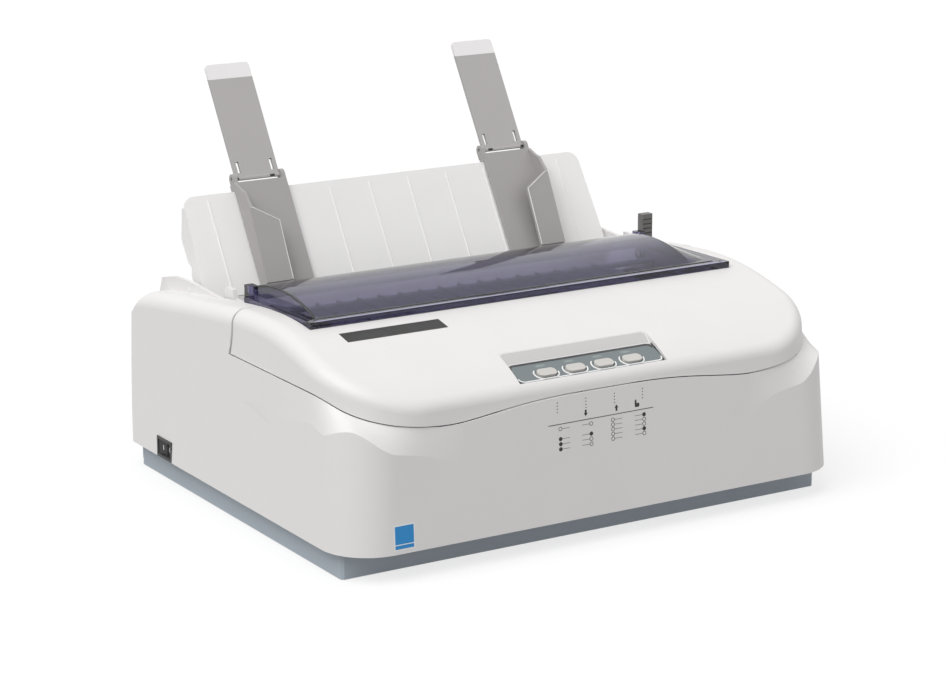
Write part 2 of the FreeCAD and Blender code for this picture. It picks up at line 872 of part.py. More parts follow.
# The sloped shoulder below the hood's corners. It runs along the side (0 to 1), round the corner
# (1 to 2) and along the front (2 to 3). Each knot is a place on that run and the height of the
# shoulder's foot as a share of the lobe's height, or how far its top steps in, as a share of the
# full step.
LEDGE_SIDE_START = 0.455
LEDGE_FRONT_END = 0.54
LEDGE_HEIGHT_KNOTS = (
    (0.0, 0.926), (0.35, 0.975), (0.65, 1.008), (1.0, 1.036), (1.5, 1.022), (2.0, 0.936),
    (2.45, 0.866), (3.0, 0.798),
)
LEDGE_STEP_KNOTS = ((0.0, -0.5), (0.5, 0.6), (1.0, 1.0), (2.0, 1.0), (2.5, 0.4), (3.0, -0.5))
LEDGE_STATIONS = 30


def smooth(knots, place):
    """The value of a smooth curve through the knots at a place between the first and last."""
    index = 0
    while index < len(knots) - 2 and place > knots[index + 1][0]:
        index += 1
    (start, low), (end, high) = knots[index], knots[index + 1]
    before = knots[max(index - 1, 0)]
    after = knots[min(index + 2, len(knots) - 1)]
    leaving = (high - before[1]) / (end - before[0])
    arriving = (after[1] - low) / (after[0] - start)
    part = (place - start) / (end - start)
    bend = part * part * (3 - 2 * part)
    turns = leaving * part * (1 - part) ** 2 - arriving * part * part * (1 - part)
    return low + (high - low) * bend + turns * (end - start)


def ledge_cutter():
    """Everything above the left shoulder, to be taken from the case outside the hood."""
    full_step = n.hood_gap * 2
    half = n.case_width / 2
    inner = []
    outer = []

    def wall(height):
        return (height - n.base_height) * math.tan(math.radians(n.wall_draft))

    def spot(run, lean, radius):
        """A place on the wall that leans in by so much and has this corner radius."""
        if run <= 1:
            start = LEDGE_SIDE_START * n.case_depth
            return lean - half, start + (lean + radius - start) * run
        if run >= 2:
            start = lean + radius - half
            return start + (-LEDGE_FRONT_END * half - start) * (run - 2), lean
        angle = math.pi + (run - 1) * math.pi / 2
        return lean + radius - half + radius * math.cos(angle), lean + radius + radius * math.sin(angle)

    for station in range(LEDGE_STATIONS + 1):
        run = station * 3 / LEDGE_STATIONS
        lean = wall(n.gap_middle_height) + smooth(LEDGE_STEP_KNOTS, run) * full_step
        x, y = spot(run, lean, n.hood_corner)
        inner.append(Vector(x, y, gap_height(x)))
        low = smooth(LEDGE_HEIGHT_KNOTS, run) * n.gap_lobe_height
        x, y = spot(run, wall(low), n.case_corner)
        outer.append(Vector(x, y, low))
    beyond = [far + (far - close) * 0.6 for close, far in zip(inner, outer)]
    lines = []
    for spots in (inner, beyond):
        curve = Part.BSplineCurve()
        curve.interpolate(spots)
        lines.append(curve.toShape())
    surface = Part.makeRuledSurface(*lines)
    return surface.extrude(Z_AXIS * n.crest_height)


def make_case_solid():
    outer = envelope(0, 0, n.case_corner, n.crest_round)
    inner = envelope(n.case_wall, n.case_wall, n.case_corner, n.crest_round * 0.8)
    wall = n.case_wall
    far = n.case_width
    deep = n.case_depth
    step = hood_step()
    within = envelope(step + wall, wall, n.hood_corner + step, n.crest_round * 0.8)
    shoulder_foot = n.gap_lobe_height - n.ledge_drop
    band = block(-far, 0, shoulder_foot, far, n.hood_rear, n.gap_side_height)
    shoulder = outer.common(band).cut(within)
    case = outer.cut(inner).fuse(shoulder).cut(above_gap(0, -n.hood_gap / 2))

    # Lip around the open bottom, with a post over each screw
    lip = outer.common(block(-far, 0, n.base_height, far, deep, n.base_height + wall))
    margin = n.tray_wall + n.overrun * 2
    half_hole = n.tray_width / 2 - margin
    front_hole = n.tray_front + margin
    back_hole = n.tray_back - margin
    lip = lip.cut(block(-half_hole, front_hole, 0, half_hole, back_hole, n.base_height * 2))
    extras = [lip]
    for x, y in screw_spots:
        spot = Vector(value(x), value(y), n.base_height)
        extras.append(Part.makeCylinder(n.post_radius, n.case_lip, spot))

    # Well over the mechanism, rear deck and the upright cheeks beside them
    edge = n.cheek_half_width
    cheek = n.cheek_thickness
    case = case.cut(block(-edge, n.case_lip * 4, n.deck_height, edge, deep, n.crest_height * 2))
    reach = hood_reach() - n.hood_gap / 2
    swept = rod_x(reach, -far, far, n.hood_axis_back, n.hood_axis_height)
    before = block(-far, 0, 0, far, n.hood_axis_back, n.crest_height * 2)
    outside_sweep = before.cut(swept)
    wing_front = n.hood_axis_back
    top = n.table_foot_height + n.wing_rise
    wing = [
        (wing_front - n.case_lip, n.cheek_foot), (deep - wall, n.cheek_foot),
        (deep - wall * 1.6, n.deck_height), (deep * 0.968, top * 0.958), (deep * 0.907, top * 0.991),
        (deep * 0.833, top), (deep * 0.714, top * 0.987), (wing_front, top * 0.985),
        (wing_front, n.cheek_foot),
    ]
    low_wing = [(n.hood_rear - n.part_gap, n.cheek_foot), (wing_front, n.cheek_foot)]
    low_wing += [(wing_front, n.crest_height * 2), (n.hood_rear - n.part_gap, n.crest_height * 2)]
    low_cheek = prism(low_wing, edge, edge + cheek).common(outer).cut(outside_sweep)
    high_cheek = prism(wing[1:], edge, edge + cheek)
    deck = block(-edge - cheek, n.deck_front, n.deck_height - wall, edge + cheek, deep, n.deck_height)
    extras.append(deck.common(outer))
    for cheek_part in (low_cheek, high_cheek):
        extras += [cheek_part, mirrored(cheek_part)]

    # Dish around the platen knob in the right wall
    dish_floor = n.knob_outer - n.knob_width - n.dish_thickness / 2
    y, z = n.platen_back, n.platen_height
    ring = rod_x(n.dish_radius + n.dish_thickness, dish_floor - n.dish_thickness, far / 2, y, z)
    extras.append(ring.common(outer))
    case = case.fuse(extras)
    case = case.cut(rod_x(n.dish_radius, dish_floor, far, y, z))
    case = case.cut(rod_x(n.shaft_radius + n.part_gap * 2, n.frame_inner, far, y, z))

    # Shoulders, screw holes, hinge pins and holes
    ledge = ledge_cutter()
    cutters = [ledge, mirrored(ledge)]
    for x, y in screw_spots:
        spot = Vector(value(x), value(y), 0)
        cutters.append(Part.makeCylinder(value(screw_radius), n.base_height + n.case_lip, spot))
    pin_y = value(table_pin_y)
    pin_z = value(table_pin_z)
    pin_hole = rod_x(n.table_pin_radius + n.running_gap, edge - n.overrun, edge + cheek * 2, pin_y, pin_z)
    cutters += [pin_hole, mirrored(pin_hole)]
    half_slot = n.lever_slot_length / 2
    slot_in = n.lever_inner - n.lever_slot_margin
    slot_out = n.lever_inner + n.lever_grip_width + n.lever_slot_margin
    slot_y = n.lever_back
    cutters.append(block(slot_in, slot_y - half_slot, n.cheek_foot, slot_out, slot_y + half_slot, far))

    # Openings for the power switch and the sockets at the back
    low = n.base_height
    rear = deep - wall * 2
    gap = n.part_gap / 2
    back_y = n.switch_front + n.switch_length
    switch_top = low + n.switch_frame_height
    cutters.append(block(-far, n.switch_front, 0, -far / 2 + n.switch_frame_depth, back_y, switch_top))
    for middle, width, bottom, height in socket_places():
        left = middle - width / 2 - gap
        right = middle + width / 2 + gap
        cutters.append(block(left, rear, bottom - gap, right, deep * 2, bottom + height + gap))
    for cutter in cutters:
        case = case.cut(cutter)
    hood_pin = rod_x(n.hood_pin_radius, arm_inner(), edge + cheek / 2, n.hood_axis_back, n.hood_axis_height)
    case = case.fuse([hood_pin, mirrored(hood_pin)])
    return case.removeSplitter()


def socket_places():
    """Middle, width, bottom and height of each socket in the rear wall."""
    return (
        (n.inlet_place, n.inlet_width, n.inlet_bottom, n.inlet_height),
        (n.port_place, n.port_width, n.port_bottom, n.port_height),
        (n.small_port_place, n.small_port_width, n.port_bottom, n.small_port_height),
    )


def arm_inner():
    return n.frame_inner + n.frame_thickness + n.part_gap


def hood_step():
    """How far the hood's walls stand in from the case's walls."""
    return n.hood_gap + n.part_gap


def make_hood_solid():
    step = hood_step()
    outer = envelope(step, 0, n.hood_corner + step, n.crest_round)
    inside = envelope(step + n.case_wall, n.case_wall, n.hood_corner + step, n.crest_round * 0.8)
    region = above_gap(n.hood_gap, n.hood_gap / 2)
    hood = outer.cut(inside)
    far = n.case_width
    high = n.crest_height * 2
    front_seat = n.cover_front - n.part_gap
    rear = n.hood_axis_back
    seat_low = seat_height(rear)

    # Rails under the cover's rim, and the frame around the control panel
    drop = n.rail_depth
    rail_line = [(front_seat, high), (rear, high)]
    rail_line += [(rear, seat_low - drop), (front_seat, seat_height(front_seat) - drop)]
    side_low = n.opening_half_width
    rail = prism(rail_line, side_low, side_low + n.rail_width)
    front_rail = prism(rail_line, -side_low, side_low)
    window_left = n.panel_middle - n.film_width / 2 - n.part_gap * 3
    window_right = n.panel_middle + n.film_width / 2 + n.part_gap * 3
    slope = math.radians(n.panel_slope)
    film_back = n.panel_front + n.film_depth * math.cos(slope)
    film_top = n.panel_height + n.film_depth * math.sin(slope)
    frame = block(
        window_left - n.case_wall, film_back, film_top - n.housing_depth,
        window_right + n.case_wall, film_back + n.housing_depth * 2, high,
    )
    hood = hood.fuse([part.common(outer) for part in (rail, mirrored(rail), front_rail, frame)])
    hood = hood.common(region)

    # Openings: under the cover, for the cover's rim, and for the control panel
    opening = block(-side_low, n.opening_front, 0, side_low, rear, high)
    seat_line = [(front_seat, seat_height(front_seat)), (rear, seat_low), (rear, high), (front_seat, high)]
    rim = n.cover_half_width + n.part_gap * 2
    back_edge = film_back + n.part_gap * 3
    lift = n.crest_height - film_top
    front_edge = n.panel_front - n.part_gap * 3
    deep_y = back_edge + n.housing_depth * math.sin(slope)
    deep_z = film_top - n.housing_depth * math.cos(slope)
    window_line = [
        (front_edge, 0), (deep_y, 0), (deep_y, deep_z), (back_edge, film_top),
        (back_edge + lift, film_top + lift), (front_edge, film_top + lift),
    ]
    plate = block(
        -n.part_gap / 2, -n.part_gap / 2, 0,
        n.plate_length + n.part_gap / 2, n.plate_depth + n.part_gap / 2, n.plate_depth,
    )
    turn = Rotation(X_AXIS, n.plate_slope)
    plate.Placement = Placement(Vector(n.plate_left, n.plate_front, n.plate_lift), turn)
    for cutter in (opening, prism(seat_line, -rim, rim), prism(window_line, window_left, window_right), plate):
        hood = hood.cut(cutter)

    # Plates that reach back to the hinge line and carry the cover's pins
    low = n.arm_plate_foot
    near_top = seat_height(n.cover_back) - n.part_gap * 2
    line = [
        (n.hood_rear - n.case_lip * 1.4, low + n.overrun * 2), (n.platen_back, low),
        (rear + n.hood_pin_radius * 2, low), (rear + n.hood_pin_radius * 2, n.crest_height),
        (rear - n.hood_pin_radius * 2, n.crest_height), (n.cover_back + n.case_wall * 3, near_top),
        (n.hood_rear - n.case_lip * 1.4, near_top),
    ]
    inner_face = arm_inner()
    thick = n.arm_plate_thickness
    pin = rod_x(
        n.cover_pin_radius, inner_face - n.part_gap * 2 - n.cover_lug_thickness,
        inner_face + thick / 2, n.cover_axis_back, n.cover_axis_height,
    )
    arm = prism(line, inner_face, inner_face + thick)
    hole = rod_x(n.hood_pin_radius + n.running_gap, 0, far, n.hood_axis_back, n.hood_axis_height)
    arm = arm.cut(hole).fuse(pin)
    return hood.fuse([arm, mirrored(arm)]).removeSplitter()


def keep(label, shape):
    """A sub-part whose shape comes from functions, moved to the printer's origin."""
    made = doc.addObject("Part::Feature", label)
    made.Label = label
    made.Shape = shape
    made.Placement = Placement(Vector(0, -setback, 0), Rotation())


table_pin_y = (
    s.table_foot_back + s.table_pin_up * sine(s.table_lean) + s.table_pin_behind * cosine(s.table_lean)
)
table_pin_z = (
    s.table_foot_height + s.table_pin_up * cosine(s.table_lean) - s.table_pin_behind * sine(s.table_lean)
)


# Paper table, its edge guides and the extension arms. They are drawn upright with the paper's
# side facing -Y and the hinge line of the slope as the origin, then leant back together.


class Leaning(Solid):
    def __init__(self, label):
        super().__init__(label, s.table_foot_back, s.table_foot_height, 0, -s.table_lean)


def make_table():
    table = Leaning("paper_table")
    half = s.table_half_width
    top_half = half - s.table_top_narrowing
    thick = s.table_thickness
    low = -s.table_below
    corner = s.table_corner
    reach = s.table_reach
    outline = [
        (-half, low), (half, low), (top_half, reach - corner, corner),
        (top_half - corner, reach), (corner - top_half, reach, corner), (-top_half, reach - corner),
    ]
    table.pad("XZ", [outline], 0, thick)
    deep = s.skirt_depth
    skirt = [
        (0, low), (deep * 0.97, low * 0.25), (deep * 0.97, reach * 0.19), (deep * 0.78, reach * 0.28),
        (deep * 0.96, reach * 0.34), (deep, reach * 0.63), (deep * 0.26, reach * 0.91),
        (0, reach - corner),
    ]
    pin = circle(s.table_pin_behind, s.table_pin_up, s.table_pin_radius)
    for side in (-1, 1):
        inner, outer = both(side, top_half - thick, top_half)
        table.pad("YZ", [skirt], inner, outer)
        inner, outer = both(side, top_half - thick, s.cheek_half_width + s.cheek_thickness)
        table.pad("YZ", [pin], inner, outer)
    ribs = []
    for place in range(int(n.table_rib_count)):
        middle = s.table_rib_pitch * (place - (n.table_rib_count - 1) / 2)
        left = middle - s.table_rib_width / 2
        ribs.append(rectangle(left, low, left + s.table_rib_width, reach - corner / 2))
    table.pad("XZ", ribs, -s.table_rib_height, s.table_rib_height)


def make_guide(side):
    guide = Leaning("guide_left" if side < 0 else "guide_right")
    outer = s.guide_outer
    inner = outer - s.guide_width
    thick = s.guide_thickness
    back = -s.table_rib_height - s.part_gap
    front = back - thick
    low = -s.guide_below
    top = s.guide_top
    left, right = both(side, inner, outer)
    guide.pad("XZ", [rectangle(left, low, right, top)], front, back)
    behind = s.table_thickness + s.part_gap
    hook = [
        (front, s.table_reach + s.part_gap), (behind, s.table_reach + s.part_gap),
        (behind, s.table_reach - s.hook_grip), (behind + s.hook_thickness, s.table_reach - s.hook_grip),
        (behind + s.hook_thickness, top), (front, top),
    ]
    guide.pad("YZ", [hook], left, right)
    wall_top = s.guide_wall_top
    rise = -s.guide_wall_height
    wall = [
        (back, low), (-s.guide_wall_foot_height, low), (rise, wall_top),
        (rise * 0.78, wall_top * 1.26), (rise * 0.51, top - thick * 3), (front, top), (back, top),
    ]
    wall_left, wall_right = both(side, outer - thick, outer)
    guide.pad("YZ", [wall], wall_left, wall_right)
    lip = [
        (-s.guide_wall_foot_height, low), (-s.guide_wall_foot_height + thick, low),
        (rise + thick, wall_top), (rise, wall_top),
    ]
    lip_left, lip_right = both(side, outer - s.guide_lip_width, outer)
    guide.pad("YZ", [lip], lip_left, lip_right)
    inside = side * (outer - s.guide_lip_width - s.overrun)
    corner = [
        (side * (outer - thick), wall_top), (side * (outer - thick), wall_top + s.overrun),
        (inside, wall_top + s.overrun), (inside, wall_top - s.guide_lip_slant),
    ]
    if side > 0:
        corner.reverse()
    guide.cut("XZ", [corner], rise - s.overrun, -s.guide_wall_foot_height + thick * 2)
    axis_y, axis_z = s.arm_axis_behind, s.arm_axis_up
    radius = s.ear_radius
    ear = [
        (axis_y - radius, top - thick), (axis_y + radius, top - thick),
        (axis_y + radius, axis_z, radius), (axis_y, axis_z + radius, radius), (axis_y - radius, axis_z),
    ]
    hole = circle(axis_y, axis_z, s.arm_pin_radius + s.running_gap)
    for ear_outer in (outer - s.arm_inset, outer - s.arm_inset - s.ear_thickness - arm_span):
        left, right = both(side, ear_outer - s.ear_thickness, ear_outer)
        guide.pad("YZ", [ear], left, right)
        guide.cut("YZ", [hole], left, right)


arm_span = s.arm_width + s.part_gap * 2


def make_arm(side):
    arm = Leaning("arm_left" if side < 0 else "arm_right")
    outer = s.guide_outer - s.arm_inset - s.ear_thickness - s.part_gap
    inner = outer - s.arm_width
    axis_y, axis_z = s.arm_axis_behind, s.arm_axis_up
    half = s.arm_thickness / 2
    left, right = both(side, inner, outer)
    low = axis_z - half
    corner = s.arm_corner
    outline = [
        (left, low), (right, low), (right, s.arm_top - corner, corner),
        (right - corner, s.arm_top), (left + corner, s.arm_top, corner), (left, s.arm_top - corner),
    ]
    arm.pad("XZ", [outline], axis_y - half, axis_y + half)
    slots = []
    for slot_left in (left + s.arm_slot_inset, right - s.arm_slot_inset - s.arm_slot_width):
        foot = s.arm_slot_foot
        slots.append(rectangle(slot_left, foot, slot_left + s.arm_slot_width, foot + s.arm_slot_length))
    arm.cut("XZ", slots, axis_y - s.arm_thickness, axis_y + s.arm_thickness)
    pin = circle(axis_y, axis_z, s.arm_pin_radius)
    reach = s.ear_thickness * 0.8
    arm.pad("YZ", [pin], left - reach, right + reach)


# Mechanism: frames, rods and guides that stay put


def make_frame(side):
    name = "left" if side < 0 else "right"
    frame = Solid(f"frame_{name}")
    inner, outer = s.frame_inner, frame_outer
    low, high = both(side, inner, outer)
    foot = s.frame_foot_height
    top = s.arm_plate_foot - s.overrun * 2
    back = s.deck_front
    front = s.floor_plate_front - s.case_lip / 2
    outline = [
        (front, foot), (back, foot), (back + s.case_lip / 2, s.base_height * 3),
        (back + s.case_lip / 2, s.deck_height - s.base_height), (back - s.case_lip, s.deck_height - s.overrun * 2),
        (platen_y + s.base_height, top), (front, top),
    ]
    gap = s.running_gap
    holes = [
        circle(platen_y, platen_z, s.bush_radius),
        circle(tractor_y, tractor_z, s.tractor_shaft_radius + gap),
        circle(roller_y, roller_z, s.roller_shaft_radius + gap),
    ]
    if side < 0:
        holes.append(circle(pinion_y, pinion_z, s.motor_hole_radius))
    frame.pad("YZ", [outline] + holes, low, high)
    foot_low, foot_high = both(side, inner - s.frame_foot_width, outer)
    flange = [rectangle(foot_low, s.floor_plate_front, foot_high, s.deck_front - s.frame_foot_width)]
    frame.pad("XY", flange, foot, foot + s.frame_thickness)
    if side < 0:
        stud_low, stud_high = -gear_inner_side, -inner
        frame.pad("YZ", [circle(idler_y, idler_z, s.idler_stud_radius)], stud_low, stud_high)
    else:
        lever_out = s.lever_inner + s.lever_width
        frame.pad("YZ", [circle(s.lever_back, s.lever_pivot_height, s.lever_stud_radius)], outer, lever_out)
        collar = circle(s.lever_back, s.lever_pivot_height, s.lever_stud_radius * 1.6)
        frame.pad("YZ", [collar], outer, s.lever_inner - s.part_gap)


gear_inner_side = gear_inner - s.part_gap


def across_rod(label, radius, back, height, low, high):
    Solid(label).pad("YZ", [circle(back, height, radius)], low, high)


def make_plates():
    inner = s.frame_inner
    low = s.floor_plate_height
    plate = Solid("mech_plate")
    plate.pad("XY", [rectangle(-inner, s.floor_plate_front, inner, s.floor_plate_back)], low, low + s.floor_plate_thickness)
    lift = s.floor_plate_thickness * 6
    for y in (s.floor_plate_front, s.floor_plate_back - s.floor_plate_thickness):
        flange = rectangle(-inner, y, inner, y + s.floor_plate_thickness)
        plate.pad("XY", [flange], low, low + lift)

    rail = Solid("carriage_rail")
    top = s.rail_height + s.rail_thickness
    front = s.rail_front
    profile = [
        (front, top - s.rail_flange), (front + s.rail_thickness, top - s.rail_flange),
        (front + s.rail_thickness, s.rail_height), (front + s.rail_shelf, s.rail_height),
        (front + s.rail_shelf, top), (front, top),
    ]
    rail.pad("YZ", [profile], -inner, inner)

    bushes = []
    length = s.bush_length
    for side in (-1, 1):
        tag = "left" if side < 0 else "right"
        across = both(side, inner - length / 4, inner + length * 0.75)[0]
        turn = Rotation(Y_AXIS, 90)
        whole = bar(f"bush_body_{tag}", s.bush_radius, length, across, platen_y, platen_z, turn)
        bore = bar(f"bush_bore_{tag}", s.shaft_radius + s.running_gap, length, across, platen_y, platen_z, turn)
        ring = doc.addObject("Part::Cut", f"bush_{tag}")
        ring.Base = whole
        ring.Tool = bore
        bushes.append(ring)
    gather("platen_bushes", bushes)


def make_paper_path():
    inner = s.frame_inner
    thick = s.chute_thickness
    chute = Solid("paper_chute")
    high_y, high_z = s.deck_front - s.part_gap, s.deck_height - s.overrun * 2
    low_y, low_z = platen_y + s.platen_radius * 1.9, platen_z - s.overrun
    outline = [(low_y, low_z), (low_y, low_z - thick), (high_y, high_z - thick * 2), (high_y, high_z)]
    chute.pad("YZ", [outline], -inner, inner)

    plate = Solid("paper_separator")
    high = s.separator_height
    front, back = s.separator_front, s.separator_back
    thick = s.separator_thickness
    outline = [
        (front, high - s.separator_drop), (front, high - s.separator_drop - thick),
        (back, high - thick), (back, high),
    ]
    half = s.platen_half_length - s.tray_wall * 3
    plate.pad("YZ", [outline], -half, half)
    tab_front = back - s.cartridge_lug_height * 2
    plate.pad("XY", [rectangle(-inner, tab_front, inner, back)], high - thick, high)
    for side in (-1, 1):
        low, top = both(side, inner - thick, inner)
        plate.pad("XY", [rectangle(low, tab_front, top, back)], high - s.base_height, high)
    ribs = []
    pitch = s.table_rib_pitch / 2
    rib = [
        (front, high - s.separator_drop - thick / 2), (back, high - thick / 2),
        (back, high + s.separator_rib_height), (front, high - s.separator_drop + s.separator_rib_height),
    ]
    for place in range(-7, 8):
        plate.pad("YZ", [rib], pitch * place - s.table_rib_width, pitch * place + s.table_rib_width)


# Gears and knobs


def flank_angle(pitch, teeth, radius):
    """Half the angle a tooth takes up at a radius, for a pressure angle of 20 degrees."""
    base = pitch * math.cos(math.radians(20))

    def rolled(at):
        lean = math.acos(min(base / at, 1))
        return math.tan(lean) - lean

    half = (math.pi * n.gear_module / 2 - n.tooth_backlash) / 2 / pitch
    return half + rolled(pitch) - rolled(max(radius, base))


def gear_shape(teeth, phase, bore, low, high, back, height):
    pitch = n.gear_module * teeth / 2
    root = pitch - n.gear_module * 1.1
    tip = pitch + n.gear_module * 0.8
    levels = (root, pitch - n.gear_module * 0.55, pitch, pitch + n.gear_module * 0.4, tip)
    points = []
    for tooth in range(int(teeth)):
        middle = math.radians(phase) + tooth * 2 * math.pi / teeth
        rising = [(radius, middle - flank_angle(pitch, teeth, radius)) for radius in levels]
        falling = [(radius, 2 * middle - angle) for radius, angle in reversed(rising)]
        for radius, angle in rising + falling:
            points.append((back + radius * math.cos(angle), height + radius * math.sin(angle)))
    return prism(points, low, high).cut(rod_x(bore, low, high, back, height))


def next_phase(towards, phase, teeth, next_teeth):
    """The turn of a gear whose teeth meet those of the gear before it."""
    return towards + 180 - (phase - towards) * teeth / next_teeth + 180 / next_teeth


def make_gears():
    low, high = -value(gear_outer), -value(gear_inner)
    platen_phase = n.idler_angle
    idler_phase = next_phase(n.idler_angle, platen_phase, n.platen_teeth, n.idler_teeth)
    pinion_phase = next_phase(n.pinion_angle, idler_phase, n.idler_teeth, n.pinion_teeth)
    tractor_phase = next_phase(n.tractor_angle, idler_phase, n.idler_teeth, n.tractor_teeth)
    y, z = value(platen_y), value(platen_z)
    keep("platen_gear", gear_shape(n.platen_teeth, platen_phase, n.shaft_radius, low, high, y, z))
    y, z = value(idler_y), value(idler_z)
    bore = n.idler_stud_radius + n.running_gap
    keep("idler_gear", gear_shape(n.idler_teeth, idler_phase, bore, low, high, y, z))
    y, z = value(tractor_y), value(tractor_z)
    keep("tractor_gear", gear_shape(n.tractor_teeth, tractor_phase, n.tractor_shaft_radius, low, high, y, z))
    y, z = value(pinion_y), value(pinion_z)
    radius = n.pinion_shaft_radius
    pinion = gear_shape(n.pinion_teeth, pinion_phase, radius, low, high, y, z)
    shaft = rod_x(radius, -value(frame_outer) - n.feed_motor_length / 2, high, y, z)
    keep("feed_pinion", pinion.fuse(shaft))

    knob_low = n.knob_outer - n.knob_width
    y, z = n.platen_back, n.platen_height
    knob = rod_x(n.knob_radius, knob_low, n.knob_outer, y, z)
    rim = [edge for edge in knob.Edges if edge.BoundBox.XMin > n.knob_outer - n.part_gap]
    knob = knob.makeChamfer(n.knob_width / 8, rim)
    for place in range(int(n.knob_flutes)):
        angle = 2 * math.pi * place / n.knob_flutes
        reach = n.knob_radius + n.knob_flute_radius / 2
        flute_y = y + reach * math.cos(angle)
        flute_z = z + reach * math.sin(angle)
        knob = knob.cut(rod_x(n.knob_flute_radius, knob_low - n.overrun, n.knob_outer * 2, flute_y, flute_z))
    keep("platen_knob", knob.cut(rod_x(n.shaft_radius, knob_low - n.overrun, value(shaft_end), y, z)))


shaft_end = s.knob_outer - s.knob_width / 3


def make_platen():
    half = s.platen_half_length
    roller = Solid("platen")
    roller.pad("YZ", [circle(platen_y, platen_z, s.platen_radius), circle(platen_y, platen_z, s.shaft_radius)], -half, half)
    across_rod("platen_shaft", s.shaft_radius, platen_y, platen_z, -frame_outer - s.overrun, shaft_end)
    across_rod("tractor_shaft", s.tractor_shaft_radius, tractor_y, tractor_z, -frame_outer, frame_outer)
    across_rod("tractor_rail", s.tractor_shaft_radius, tractor_y, tractor_z + s.tractor_rail_up, -s.frame_inner, s.frame_inner)
    rollers = Solid("pressure_rollers")
    rollers.pad("YZ", [circle(roller_y, roller_z, s.roller_shaft_radius)], -frame_outer, frame_outer)
    for place in (-1.5, -0.5, 0.5, 1.5):
        left = place * s.roller_place - s.roller_length / 2
        rollers.pad("YZ", [circle(roller_y, roller_z, s.roller_radius)], left, left + s.roller_length)


def make_tractor(side):
    tractor = Solid("tractor_left" if side < 0 else "tractor_right")
    half = s.tractor_width / 2
    low, high = both(side, s.tractor_place - half, s.tractor_place + half)
    depth = s.tractor_thickness / 2
    front = tractor_y - s.tractor_length / 2
    back = front + s.tractor_length
    bottom = tractor_z - depth
    top = tractor_z + depth
    outline = rounded(front, bottom, back, top, depth * 0.9)
    gap = s.running_gap
    holes = [circle(tractor_y, tractor_z, s.tractor_shaft_radius + gap)]
    tractor.pad("YZ", [outline] + holes, low, high)
    reach = s.tractor_shaft_radius * 1.7
    rail_z = tractor_z + s.tractor_rail_up
    lug = [
        (tractor_y - reach, top - gap), (tractor_y + reach, top - gap),
        (tractor_y + reach, rail_z, reach), (tractor_y, rail_z + reach, reach), (tractor_y - reach, rail_z),
    ]
    hole = circle(tractor_y, rail_z, s.tractor_shaft_radius + gap)
    tractor.pad("YZ", [lug], low, high)
    tractor.cut("YZ", [hole], low, high)


# Carriage, print head and ribbon


def make_carriage():
    half = s.carriage_width / 2
    depth = s.carriage_depth / 2
    carriage = Solid("carriage")
    front, back = s.rod_back - depth, s.rod_back + depth
    carriage.pad("XY", [rectangle(-half, front, half, back)], s.carriage_bottom, s.carriage_top)
    foot_low = s.rail_height + s.rail_thickness + s.part_gap
    foot = rectangle(-s.carriage_foot_width / 2, s.rail_front, s.carriage_foot_width / 2, back)
    carriage.pad("XY", [foot], foot_low, foot_low + s.carriage_foot_thickness)
    bore = circle(s.rod_back, s.rod_height, s.rod_radius + s.running_gap)
    carriage.cut("YZ", [bore], -half, half)

    head = Solid("print_head")
    low = foot_low + s.carriage_foot_thickness
    top = low + s.head_height
    wide = s.head_width / 2
    head.pad("XY", [rectangle(-wide, s.head_front, wide, s.head_shoulder)], low, top)
    nose = s.head_nose_width / 2
    middle = platen_z
    nose_line = [
        (s.head_shoulder, middle - s.head_nose_height), (s.head_nose_back, middle - s.head_nose_height / 2),
        (s.head_nose_back, middle + s.head_nose_height / 2), (s.head_shoulder, middle + s.head_nose_height * 0.9),
    ]
    head.pad("YZ", [nose_line], -nose, nose)

    sink = Solid("head_heat_sink")
    sink.pad("XY", [rectangle(-wide, s.sink_front, wide, s.sink_front + s.sink_length)], top, top + s.sink_base)
    fins = []
    pitch = (s.head_width - s.sink_fin_thickness) / (n.sink_fins - 1)
    for place in range(int(n.sink_fins)):
        left = pitch * place - wide
        fins.append(rectangle(left, s.sink_front, left + s.sink_fin_thickness, s.sink_front + s.sink_length))
    for fin in fins:
        sink.pad("XY", [fin], top + s.sink_base, top + s.sink_height)


def stadium(radius):
    place = s.pulley_place
    back = s.belt_back
    return [
        (-place, back - radius), (place, back - radius, radius), (place + radius, back, radius),
        (place, back + radius), (-place, back + radius, radius), (-place - radius, back, radius),
    ]


